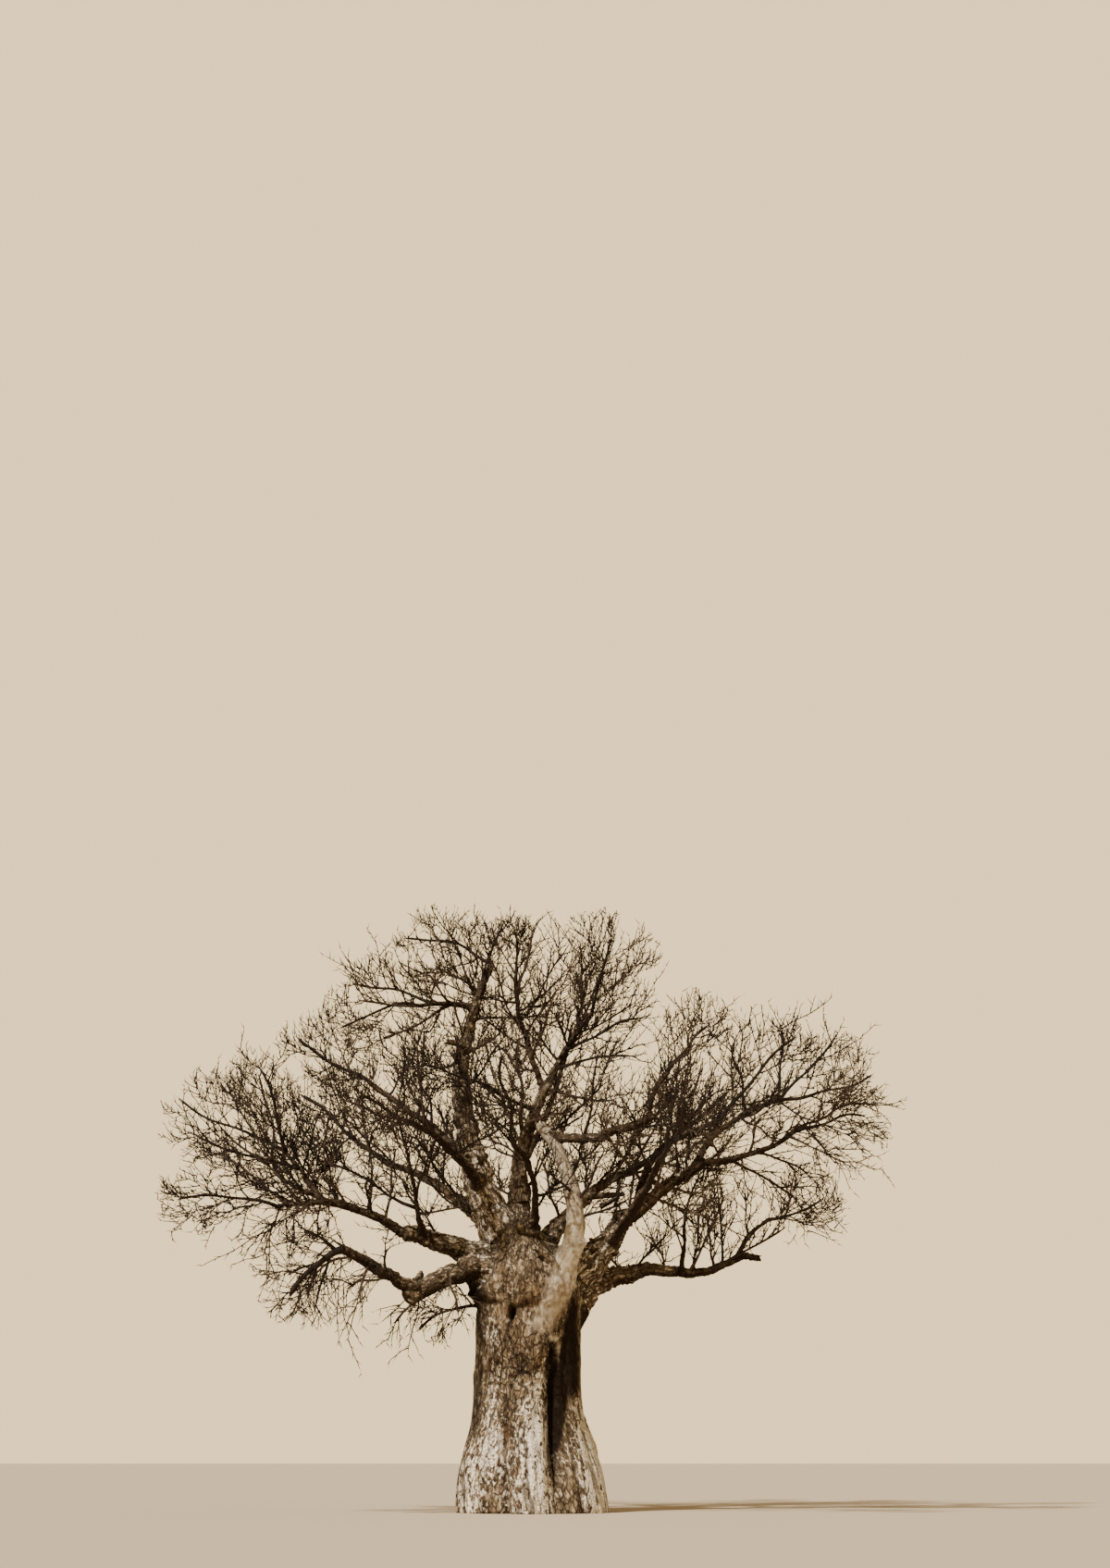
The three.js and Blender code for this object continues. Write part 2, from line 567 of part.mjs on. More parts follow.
for (const mass of masses) {
  const twigs = growTwigs(mass.stem, 0, mass, masses, obstacles);
  const solids = [mass.stem, ...twigs].map((limb) => limbSolid(limb, 0));
  const fused = wasm.Manifold.union(solids).subtract(cutters[0]);
  baobab.add(toMesh(mass.name, largestPiece(fused), mass.stem.line.v0, twigBark));
}

export default baobab;
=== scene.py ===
import math

import bmesh
import bpy
import numpy as np
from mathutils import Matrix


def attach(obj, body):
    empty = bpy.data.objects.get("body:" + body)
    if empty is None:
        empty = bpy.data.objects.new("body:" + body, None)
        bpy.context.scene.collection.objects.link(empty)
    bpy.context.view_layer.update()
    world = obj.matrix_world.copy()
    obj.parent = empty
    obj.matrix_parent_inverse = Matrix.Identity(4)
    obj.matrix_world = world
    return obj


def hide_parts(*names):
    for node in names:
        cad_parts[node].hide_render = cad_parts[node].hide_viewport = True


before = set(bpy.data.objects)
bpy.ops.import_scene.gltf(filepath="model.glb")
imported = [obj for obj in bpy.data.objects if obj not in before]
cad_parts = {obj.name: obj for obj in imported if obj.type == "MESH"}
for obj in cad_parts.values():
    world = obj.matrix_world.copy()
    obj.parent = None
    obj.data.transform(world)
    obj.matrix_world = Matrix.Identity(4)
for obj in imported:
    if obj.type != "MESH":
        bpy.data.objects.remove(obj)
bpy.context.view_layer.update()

# Camera
# Eye height on level ground, well back from the tree and looking a little up at it, so that the
# tree fills the lower part of a tall picture.
CAMERA_PLACE = (0.62, -66.8, 1.51)
CAMERA_TILT = 17.2
LENS_LENGTH = 50
SENSOR_WIDTH = 36
FARTHEST_SEEN = 2000
camera_data = bpy.data.cameras.new("camera")
camera_data.lens = LENS_LENGTH
camera_data.sensor_width = SENSOR_WIDTH
camera_data.clip_end = FARTHEST_SEEN
camera = bpy.data.objects.new("camera", camera_data)
camera.location = CAMERA_PLACE
camera.rotation_euler = (math.radians(90 + CAMERA_TILT), 0, 0)
bpy.context.scene.collection.objects.link(camera)
bpy.context.scene.camera = camera

# Floor and light
# A plain pale floor that runs out to the horizon, an even pale surround, and one broad soft light
# from high on the front left that leaves the undersides of the boughs in shade.
FLOOR_HALF_WIDTH = 600
FLOOR_COLOUR = (0.56, 0.46, 0.33, 1)
FLOOR_ROUGHNESS = 0.95
SURROUND_COLOUR = (1.0, 0.74, 0.4, 1)
SURROUND_LIGHT = 0.5
SURROUND_SEEN = 1.75
KEY_STRENGTH = 6.2
KEY_COLOUR = (1.0, 0.94, 0.84)
KEY_WIDTH = 3
KEY_TILT = 46
KEY_TURN = -38
floor_form = bmesh.new()
bmesh.ops.create_grid(floor_form, x_segments=1, y_segments=1, size=FLOOR_HALF_WIDTH)
floor_mesh = bpy.data.meshes.new("floor")
floor_form.to_mesh(floor_mesh)
floor_form.free()
floor = bpy.data.objects.new("floor", floor_mesh)
bpy.context.scene.collection.objects.link(floor)
floor_paint = bpy.data.materials.new("floor_paint")
floor_paint.use_nodes = True
floor_shader = floor_paint.node_tree.nodes["Principled BSDF"]
floor_shader.inputs["Base Color"].default_value = FLOOR_COLOUR
floor_shader.inputs["Roughness"].default_value = FLOOR_ROUGHNESS
floor_mesh.materials.append(floor_paint)

surround = bpy.data.worlds.new("surround")
surround.use_nodes = True
backdrop = surround.node_tree.nodes["Background"]
backdrop.inputs["Color"].default_value = SURROUND_COLOUR
seen = surround.node_tree.nodes.new("ShaderNodeLightPath")
brightness = surround.node_tree.nodes.new("ShaderNodeMapRange")
brightness.inputs["To Min"].default_value = SURROUND_LIGHT
brightness.inputs["To Max"].default_value = SURROUND_SEEN
surround.node_tree.links.new(seen.outputs["Is Camera Ray"], brightness.inputs["Value"])
surround.node_tree.links.new(brightness.outputs["Result"], backdrop.inputs["Strength"])
bpy.context.scene.world = surround

key_data = bpy.data.lights.new("key", "SUN")
key_data.energy = KEY_STRENGTH
key_data.angle = math.radians(KEY_WIDTH)
key_data.color = KEY_COLOUR
key = bpy.data.objects.new("key", key_data)
key.rotation_euler = (math.radians(KEY_TILT), 0, math.radians(KEY_TURN))
bpy.context.scene.collection.objects.link(key)

# Trunk
# One stout stem of soft, fibrous wood under a thin bark. It grew in columns with deep folds
# between them, and each column runs out into a root where the stem meets the ground.
HEIGHT = 18.0
HALF_SPREAD = 11.4
HALF_DEPTH = 9.5
WAIST_RADIUS = 1.54
TRUNK_TOP = 0.465 * HEIGHT
TRUNK_SHOULDER = 0.35 * HEIGHT
TRUNK_STEP_LEFT = 0.011 * HEIGHT
TRUNK_STEP_HEIGHT = 0.07 * HEIGHT
DOME_STEP_LEFT = 0.02 * HEIGHT
DOME_FULLNESS = 0.97
FOOT_SPREAD = 0.36 * WAIST_RADIUS
FOOT_HEIGHT = 1.17 * WAIST_RADIUS
FOOT_SOFTNESS = 0.33 * WAIST_RADIUS
COLUMN_BULGE = 0.07
COLUMN_BULGE_AT_FOOT = 0.13
BELOW_GROUND = 0.3
TRUNK_FACES = 240
TRUNK_STRETCHES = 220
THINNEST = 0.02
WAIST_HEIGHT = 2 * WAIST_RADIUS
FOLD_FADE = 0.9
# Each fold between columns: bearing in degrees round from the front at the waist, lean in degrees a
# metre, depth, half width, and the heights that it fades out at, in metres
FOLDS = [
    (-25, -1, 0.12, 0.13, 0.3, 3.9),
    (30, 3, 0.32, 0.2, 0.9, 4.9),
    (118, -1, 0.18, 0.22, -0.9, 5.6),
    (165, 1, 0.14, 0.16, -0.9, 6.2),
    (207, 0, 0.18, 0.16, -0.9, 5.4),
    (250, 1, 0.15, 0.2, -0.9, 6.0),
]
# Smaller wrinkles that run down a column, in the same terms
WRINKLES = [
    (-68, 0, 0.05, 0.08, 0.2, 4.6),
    (-48, -1, 0.05, 0.06, 1.2, 5.6),
    (-36, 1, 0.04, 0.05, 0.0, 2.6),
    (-13, 2, 0.06, 0.07, 0.4, 3.9),
    (-3, -1, 0.05, 0.05, 0.0, 3.2),
    (9, 1, 0.05, 0.06, 0.0, 3.5),
    (18, 2, 0.05, 0.05, 0.2, 3.9),
    (47, 2, 0.09, 0.09, -0.5, 4.9),
    (66, 0, 0.07, 0.08, -0.9, 4.2),
    (90, -1, 0.06, 0.07, 1.0, 5.6),
    (140, 0, 0.06, 0.08, -0.9, 4.4),
    (186, 0, 0.06, 0.08, -0.2, 5.0),
    (229, 0, 0.05, 0.08, -0.9, 4.0),
    (275, 0, 0.06, 0.08, 0.3, 5.2),
]
# The ledge under the burly mass on the front: how far round from the front, and how high
LEDGE = [(-1.75, 6.2), (-1.45, 6.02), (-0.95, 5.82), (-0.4, 5.68), (0.1, 5.76), (0.5, 5.74), (0.8, 6.0)]
# Cracks on the front, each from one place to another, round from the front and up, with half width
CRACKS = [
    (-0.5, 5.45, -0.6, 4.9, 0.045),
    (-0.6, 4.95, -0.2, 3.95, 0.05),
    (-0.62, 4.9, -0.36, 4.4, 0.03),
    (-0.36, 3.93, 0.02, 3.88, 0.065),
    (0.02, 3.88, 0.26, 4.02, 0.045),
    (-0.2, 3.95, -0.47, 3.5, 0.055),
    (-0.3, 4.6, -0.18, 3.95, 0.032),
    (-0.05, 4.75, -0.12, 4.0, 0.03),
    (0.08, 4.5, -0.05, 3.95, 0.03),
    (-0.55, 5.3, -0.72, 4.75, 0.028),
    (-0.62, 4.75, -0.95, 4.1, 0.026),
    (-0.3, 5.0, -0.38, 4.45, 0.024),
    (0.55, 4.9, 0.72, 4.62, 0.02),
    (0.4, 4.3, 0.62, 4.45, 0.02),
    (0.42, 4.72, 0.62, 4.58, 0.02),
    (0.52, 4.08, 0.68, 4.3, 0.02),
]
# The course of the smooth tongue that the pale stem sends down the front: height, the place of its
# middle round from the front, and half width
TONGUE = [(4.2, 0.1, 0.2), (4.5, 0.2, 0.3), (5.23, 0.47, 0.42), (6.1, 0.95, 0.42), (6.6, 1.05, 0.42)]


def blend_step(low, high, value):
    """0 below low, 1 above high, and a smooth rise between them."""
    share = np.clip((value - low) / (high - low), 0, 1)
    return share * share * (3 - 2 * share)


def band(low, low_full, high_full, high, value):
    """1 between low_full and high_full, with a smooth fall to 0 at low and at high."""
    return blend_step(low, low_full, value) * (1 - blend_step(high_full, high, value))


def lattice_noise(places, seed):
    """Smooth noise from -1 to 1 over an array of places, one unit to a lump."""
    cell = np.floor(places).astype(np.int64)
    inside = places - cell
    fade = inside * inside * inside * (inside * (inside * 6 - 15) + 10)
    total = np.zeros(len(places))
    for corner in range(8):
        step = np.array([corner & 1, corner >> 1 & 1, corner >> 2 & 1])
        spot = (cell + step).astype(np.uint32)
        bits = spot[:, 0] * np.uint32(73856093) ^ spot[:, 1] * np.uint32(19349663)
        bits = bits ^ spot[:, 2] * np.uint32(83492791) ^ np.uint32(seed * 2654435 % 2**32)
        bits = (bits ^ bits >> np.uint32(15)) * np.uint32(0x2C1B3C6D)
        bits = (bits ^ bits >> np.uint32(12)) * np.uint32(0x297A2D39)
        bits = bits ^ bits >> np.uint32(15)
        weight = np.prod(np.where(step == 1, fade, 1 - fade), axis=1)
        total += weight * (bits / 2**31 - 1)
    return total


def dome_rise(z):
    return np.maximum(0, (z - TRUNK_SHOULDER) / (TRUNK_TOP - TRUNK_SHOULDER))


def trunk_middle(z):
    """The trunk's middle steps to the left just over the foot, and again in the dome at its top."""
    step = TRUNK_STEP_LEFT * (1 - np.exp(-np.maximum(z, 0) / TRUNK_STEP_HEIGHT))
    x = -step - DOME_STEP_LEFT * dome_rise(z) ** 2
    return np.stack([x, np.zeros_like(x), np.asarray(z) + np.zeros_like(x)], axis=-1)


def foot_share(z):
    return 1 / (1 + np.exp((np.maximum(z, 0) - FOOT_HEIGHT) / FOOT_SOFTNESS))


def trunk_radius(z):
    return (WAIST_RADIUS + FOOT_SPREAD * foot_share(z)) * (1 - DOME_FULLNESS * dome_rise(z) ** 2)


def turned(bearing, other):
    """Degrees from one bearing round to another, from -180 to 180."""
    return (bearing - other + 180) % 360 - 180


def fold_places(z):
    """The bearing of each fold at each height."""
    lean = np.array([row[1] for row in FOLDS])
    return np.array([row[0] for row in FOLDS]) + lean * (np.asarray(z)[..., None] - WAIST_HEIGHT)


def fold_cut(rows, bearing, z, radius):
    """How deep the folds in these rows cut into the trunk at a bearing and height."""
    cut = np.zeros_like(z)
    for index, (middle, lean, depth, half_width, low, high) in enumerate(rows):
        drift = 1.2 * np.sin(0.8 * z + 2.1 * index) + 1.1 * np.sin(2.6 * z + index)
        bearing_here = middle + lean * (z - WAIST_HEIGHT) + drift
        across = np.radians(turned(bearing, bearing_here)) * radius
        fade = band(low - FOLD_FADE, low + FOLD_FADE, high - FOLD_FADE, high, z)
        cut += depth * fade * np.exp(-np.abs(across / half_width) ** 1.5)
    return cut


def near_cracks(across, z):
    """1 in the middle of a crack on the front, falling to 0 at its edges."""
    deepest = np.zeros_like(z)
    waver = 0.03 * np.sin(9 * z) + 0.02 * np.sin(23 * z + 1)
    for from_across, from_height, to_across, to_height, half_width in CRACKS:
        run = np.array([to_across - from_across, to_height - from_height])
        share = ((across - from_across) * run[0] + (z - from_height) * run[1]) / run.dot(run)
        share = np.clip(share, 0, 1)
        off = np.hypot(across + waver - from_across - share * run[0], z - from_height - share * run[1])
        deepest = np.maximum(deepest, np.exp(-((off / half_width) ** 2)))
    return deepest


def spot(across, z, middle, half_sizes, powers):
    """1 in the middle of a mark on the front, falling to 0 past its edges."""
    sideways = ((across - middle[0]) / half_sizes[0]) ** powers[0]
    return np.exp(-(sideways + ((z - middle[1]) / half_sizes[1]) ** powers[1]))


def trunk_marks(bearing, z, radius):
    """How far the trunk's own marks stand out, the painted shade in its hollows, and where it is tongue,
    burly mass and lip.
    """
    across = np.radians(turned(bearing, 0)) * radius
    # The smooth tongue that the pale stem sends down the front
    tongue_heights, tongue_middles, tongue_halves = np.transpose(TONGUE)
    off_tongue = across - np.interp(z, tongue_heights, tongue_middles)
    tongue = np.exp(-((off_tongue / np.interp(z, tongue_heights, tongue_halves)) ** 4))
    tongue = tongue * band(3.9, 4.5, 6.3, 7.6, z)
    # The burly mass over the ledge, and the crease under it
    ledge_height = np.interp(across, *np.transpose(LEDGE))
    ledge_height = ledge_height + 0.035 * np.sin(7 * across + 1) + 0.02 * np.sin(19 * across)
    burly = band(-2.0, -1.6, 0.6, 0.9, across) * band(ledge_height - 0.05, ledge_height + 0.22, 6.8, 7.8, z)
    crease = band(-1.5, -1.2, 0.6, 0.75, across)
    crease = crease * np.exp(-(((z - ledge_height) / 0.06) ** 2)) * (0.5 + 0.5 * np.sin(5 * across + 2))
    # The knot hole at the ledge's left end, with the wet line that runs down from it
    knot = np.hypot((across + 0.47 - 0.25 * (z - 5.58)) / 0.11, (z - 5.56) / 0.2)
    knot_hole = np.exp(-(knot**4))
    knot_rim = np.exp(-(((knot - 1.5) / 0.35) ** 2)) * (across < -0.4)
    # The burr at the top of the deep fold, a spiked hollow with a pale lip on its right
    burr_turn = np.arctan2(z - 4.5, across - 0.8)
    burr = np.hypot((across - 0.8) / 0.15, (z - 4.5) / 0.27) / (1 + 0.35 * np.sin(9 * burr_turn))
    burr_hole = np.exp(-(burr**2))
    burr_lip = spot(across, z, (1.03, 4.4), (0.06, 0.32), (2, 4))
    burr_lip = np.maximum(burr_lip, spot(across, z, (0.78, 4.84), (0.18, 0.07), (4, 2)))
    # The hollow under the low left bough's armpit
    armpit = spot(across, z, (-2.0, 6.25), (0.5, 0.45), (4, 4))
    cracks = near_cracks(across, z)
    tongue_rise = 0.12 + 0.16 * blend_step(5.0, 6.4, z)
    lip = 0.11 + 0.06 * np.sin(4 * across + 1)
    rise = tongue_rise * tongue + lip * burly - 0.05 * crease - 0.3 * knot_hole + 0.05 * knot_rim
    rise = rise - 0.06 * cracks - 0.2 * burr_hole + 0.07 * burr_lip - 0.25 * armpit
    # Painted shade in the hollows, where shade falls: the knot hole, the crease, the cracks, the burr and the
    # armpit
    hollow_shade = knot_hole + 0.35 * crease + 0.85 * cracks + 0.95 * burr_hole + 0.95 * armpit
    return rise, *(np.clip(mark, 0, 1) for mark in (hollow_shade, tongue, burly, burr_lip))


def fold_swell(bearing, z):
    """The columns' cross-section between one fold and the next: -0.5 in a fold, 0.5 at the crown."""
    starts = fold_places(z)
    round_from = (bearing - starts[:, 0]) % 360 + starts[:, 0]
    ends = np.concatenate([starts[:, 1:], starts[:, :1] + 360], axis=1)
    inside = (round_from[:, None] >= starts) & (round_from[:, None] < ends)
    across = np.where(inside, (round_from[:, None] - starts) / (ends - starts), 0).sum(axis=1)
    return np.sin(np.pi * across) - 0.5


def vertex_values(mesh, name):
    """A row of three numbers for each of a mesh's vertices: its place, or the way it faces."""
    values = np.empty(3 * len(mesh.vertices))
    mesh.vertices.foreach_get(name, values)
    return values.reshape(-1, 3)


wood_form = bmesh.new()


def add_column(sides, stretches, place):
    """Adds a closed column of rings to the wood, each vertex at place(share along, angle round)."""
    form = bmesh.new()
    bmesh.ops.create_cone(form, cap_ends=True, segments=sides, radius1=1, radius2=1, depth=1)
    upright = [e for e in form.edges if abs(e.verts[0].co.z - e.verts[1].co.z) > 0.5]
    bmesh.ops.subdivide_edges(form, edges=upright, cuts=stretches - 1)
    mesh = bpy.data.meshes.new("column")
    form.to_mesh(mesh)
    form.free()
    x, y, z = vertex_values(mesh, "co").T
    mesh.vertices.foreach_set("co", place(z + 0.5, np.arctan2(x, -y)).ravel())
    wood_form.from_mesh(mesh)
    bpy.data.meshes.remove(mesh)


def place_trunk(share, angle):
    z = share * (TRUNK_TOP + BELOW_GROUND) - BELOW_GROUND
    bearing = np.degrees(angle)
    base = trunk_radius(z)
    bulge = COLUMN_BULGE + COLUMN_BULGE_AT_FOOT * foot_share(z)
    radius = base * (1 + bulge * fold_swell(bearing, z))
    rise = trunk_marks(bearing, z, base)[0]
    cuts = fold_cut(FOLDS, bearing, z, base) + fold_cut(WRINKLES, bearing, z, base)
    radius = radius + rise - cuts * (1 - blend_step(5.5, 7.5, z))
    outward = np.stack([np.sin(angle), -np.cos(angle), np.zeros_like(angle)], axis=-1)
    return trunk_middle(z) + np.maximum(radius, THINNEST)[:, None] * outward


add_column(TRUNK_FACES, TRUNK_STRETCHES, place_trunk)

# Boughs
# Tapering limbs of the same wood that leave the trunk's shoulder, each with a swollen collar where
# it leaves the limb that bears it. They bend at every old break and carry stubs of lost arms.
SEAM_GAP = 0.0003
BOUGH_TAPER = 1.35
LEADER_TAPER = 0.9
COLLAR_SWELL = 0.4
COLLAR_SHARE = 0.9
COLLAR_WITHIN_PARENT = 0.9
ARC_PARTS = 200
BOUGH_SIDES = 20
FEWEST_RINGS = 12
RING_SPACING = 0.1
BOUGH_WANDER = 0.34
BOUGH_KINK = 0.2
WANDER_RUN = 0.9
KINKS_TO_A_BEND = 2.7
MOST_WANDER = 0.24
LEAST_WANDER = 0.06
WANDER_SEED = 11
KINK_SEED = 14
STUB_STRETCHES = 6
STUB_JAG = 0.06
TRUNK_RING_SPACING = 0.15
# Each bough: the limb that bears it, how far along that limb, its tip in percent of the crown's
# half spread, half depth and height, the bow of its middle in percent of its own length, and its
# thickness at the root and the tip in metres. A bough at 1 carries the other on.
BOUGHS = [
    ("left_leader", "trunk", 0.81, (-11.5, -3, 90), (-15, 0, 0), (1.08, 0.13)),
    ("top_left_arm", "left_leader", 0.85, (-31, -10, 82), (0, 0, 8), (0.22, 0.12)),
    ("upper_left_bough", "left_leader", 0.38, (-45, 21, 71), (8, 0, -4), (0.29, 0.16)),
    ("front_left_bough", "left_leader", 0.28, (-30, -50, 59), (0, 0, 6), (0.33, 0.15)),
    ("mid_left_bough", "trunk", 0.8, (-34, -9, 44), (0, 0, 4), (0.9, 0.48)),
    ("mid_left_reach", "mid_left_bough", 1, (-56, -16, 49), (0, 0, 5), (0.3, 0.2)),
    ("mid_left_riser", "mid_left_reach", 1, (-67, -6, 58), (9, 0, -6), (0.18, 0.12)),
    ("mid_left_arm", "mid_left_reach", 0.86, (-65, -32, 47), (0, 0, 3), (0.17, 0.12)),
    ("back_left_riser", "mid_left_reach", 0.6, (-71, 21, 55.5), (0, 0, -3), (0.17, 0.12)),
    ("mid_left_stem", "mid_left_bough", 0.86, (-31, -20, 51), (0, -8, 0), (0.22, 0.13)),
    ("low_left_bough", "trunk", 0.755, (-32, -23, 33), (0, 0, 16), (0.72, 0.54)),
    ("low_left_forearm", "low_left_bough", 0.91, (-47.5, -36, 40), (0, 0, 0), (0.42, 0.26)),
    ("pale_stem", "trunk", 0.62, (1.5, 1.5, 62.5), (20, -17, 0), (0.88, 0.36)),
    ("shelf_bough", "pale_stem", 0.94, (31, -27, 62), (0, 0, -8), (0.32, 0.24)),
    ("shelf_riser", "shelf_bough", 0.95, (34.5, -34, 68.5), (-8, 0, 0), (0.18, 0.13)),
    ("middle_stem", "trunk", 0.9, (4.5, 4, 71), (-10, 0, -1), (0.76, 0.27)),
    ("centre_left_leader", "middle_stem", 0.91, (-5.5, 8, 87.5), (-4, 0, 0), (0.21, 0.13)),
    ("centre_right_leader", "middle_stem", 1, (15.5, 0, 82), (-3, 0, 0), (0.23, 0.12)),
    ("centre_arm", "middle_stem", 0.79, (-12, -13, 68), (0, 0, -4), (0.15, 0.11)),
    ("front_stem", "trunk", 0.86, (-5, -34, 56.5), (10, -4, 10), (0.26, 0.15)),
    ("right_bough", "trunk", 0.72, (23, -3, 48), (20, 0, 4), (1.1, 0.52)),
    ("right_reach", "right_bough", 0.9, (44, -10, 55.5), (0, 0, 0), (0.44, 0.32)),
    ("right_fork_low", "right_reach", 1, (68, -19, 60), (0, 0, -9), (0.25, 0.13)),
    ("right_fork_high", "right_reach", 0.92, (70, 25, 69), (-8, 6, 6), (0.23, 0.13)),
    ("right_riser", "right_reach", 0.24, (47, -34, 60.5), (-15, 10, 8), (0.29, 0.15)),
    ("front_right_bough", "right_bough", 0.75, (31, -53, 53), (6, 0, 4), (0.36, 0.16)),
    ("low_right_bough", "trunk", 0.68, (31, 10, 39), (0, 0, 4), (1.25, 0.42)),
    ("low_right_forearm", "low_right_bough", 1, (58, 21, 42), (0, 0, -10), (0.4, 0.18)),
    ("low_right_spur", "low_right_forearm", 0.86, (64, 24, 48), (-5, 0, 6), (0.16, 0.12)),
    ("low_right_riser", "low_right_forearm", 0.3, (40, 5, 46), (0, 0, 4), (0.15, 0.11)),
    ("back_right_bough", "trunk", 0.82, (27, 55, 58), (0, 0, 8), (0.62, 0.2)),
    ("back_bough", "trunk", 0.88, (-4, 63, 66), (0, -6, 0), (0.58, 0.18)),
    ("back_left_bough", "trunk", 0.78, (-43, 59, 60), (4, 0, 6), (0.62, 0.2)),
    ("back_high_bough", "middle_stem", 0.45, (8.5, 42, 78.5), (0, 8, -5), (0.28, 0.14)),
]
# Stubs: the place of the root and the tip, and the thickness at each, in metres
STUBS = [
    ((-3.35, -0.45, 6.75), (-3.55, -0.95, 6.52), 0.22, 0.15),
    ((-1.95, -0.4, 13.6), (-2.72, -0.62, 13.72), 0.24, 0.16),
    ((-0.27, -0.3, 7.75), (-0.42, -0.95, 8.15), 0.24, 0.13),
    ((0.62, -1.25, 6.9), (0.05, -1.62, 7.42), 0.2, 0.12),
    ((1.25, -1.2, 7.4), (1.46, -1.75, 7.6), 0.3, 0.26),
    ((1.3, 0.4, 9.1), (2.75, 0.5, 9.22), 0.26, 0.15),
    ((2.0, 0.2, 8.8), (2.55, -0.25, 9.05), 0.2, 0.14),
    ((3.6, -0.4, 9.5), (3.75, -0.95, 9.3), 0.2, 0.14),
    ((-3.0, -0.9, 7.6), (-3.1, -1.3, 7.95), 0.18, 0.1),
    ((6.3, 1.9, 7.52), (6.98, 2.05, 7.42), 0.26, 0.19),
    ((-1.0, -0.3, 5.3), (-1.8, -0.85, 6.6), 1.0, 0.5),
    ((0.95, 0.1, 5.4), (1.6, 0.2, 6.35), 1.0, 0.8),
]


def crown_point(percents):
    return np.array(percents) / 100 * np.array([HALF_SPREAD, HALF_DEPTH, HEIGHT])


def line_point(line, share):
    t = np.asarray(share, float)[..., None]
    return (1 - t) ** 2 * line[..., 0, :] + 2 * t * (1 - t) * line[..., 1, :] + t * t * line[..., 2, :]


def line_tangent(line, share):
    t = np.asarray(share, float)[..., None]
    way = (1 - t) * (line[..., 1, :] - line[..., 0, :]) + t * (line[..., 2, :] - line[..., 1, :])
    return way / np.linalg.norm(way, axis=-1, keepdims=True)


def even_share(line, share):
    """The line's own share that lies this share of its length along it."""
    parts = np.linspace(0, 1, ARC_PARTS + 1)
    steps = np.linalg.norm(np.diff(line_point(line, parts), axis=0), axis=1)
    run = np.concatenate([[0], np.cumsum(steps)])
    return np.interp(np.asarray(share) * run[-1], run, parts)


def limb_line(start, tip, bow):
    length = np.linalg.norm(tip - start)
    middle = (start + tip) / 2 + np.array(bow) / 50 * length
    return np.array([start, middle, tip]), length


def limb_radius(limb, share):
    taper = limb["tip"] + (limb["root"] - limb["tip"]) * (1 - share) ** limb["taper"]
    beyond = np.maximum(0, share * limb["length"] - limb["hidden"])
    return taper * (1 + limb["collar"] * np.exp(-beyond / (COLLAR_SHARE * limb["root"])))


def leaves_from(limb, at):
    """Where a limb that starts this far along another one starts, and the way the other goes there."""
    share = even_share(limb["line"], at)
    return line_point(limb["line"], share), line_tangent(limb["line"], share)


def noise_ways(spots, seed):
    """Smooth noise in each of three directions."""
    return np.stack([lattice_noise(spots, seed + axis) for axis in range(3)], axis=-1)


def wander(limb, share, index):
    """A bough's slow bends to each side of its plain line, none at its ends."""
    run = np.asarray(share) * limb["length"] / WANDER_RUN
    spots = np.stack([run, np.full_like(run, 7.3 * index), np.zeros_like(run)], axis=-1)
    sway = noise_ways(spots, WANDER_SEED)
    kink = noise_ways(spots * [KINKS_TO_A_BEND, 1, 1], KINK_SEED)
    reach = np.minimum(limb_radius(limb, share) + LEAST_WANDER, MOST_WANDER)
    reach = reach * np.sin(np.pi * share) ** 0.7
    return (BOUGH_WANDER * sway + BOUGH_KINK * kink) * reach[:, None]


def ring_frames(middles):
    """The way along a run of ring middles, and two ways across it that turn as little as they can."""
    along = np.gradient(middles, axis=0)
    along /= np.linalg.norm(along, axis=1, keepdims=True)
    side = np.cross(along[0], [0, 0, 1.0])
    if np.linalg.norm(side) < 0.1:
        side = np.cross(along[0], [0, 1.0, 0])
    sides = []
    for way in along:
        side = side - way * side.dot(way)
        side = side / np.linalg.norm(side)
        sides.append(side)
    sides = np.array(sides)
    return along, sides, np.cross(along, sides)


def way_out(angle, side, over):
    """The way out from a limb's middle at each angle round it."""
    return np.sin(angle)[:, None] * side - np.cos(angle)[:, None] * over


trunk_heights = np.arange(-BELOW_GROUND, TRUNK_TOP, TRUNK_RING_SPACING)
trunk_zeros = np.zeros(len(trunk_heights))
trunk_ones = np.ones(len(trunk_heights))
limbs = {}
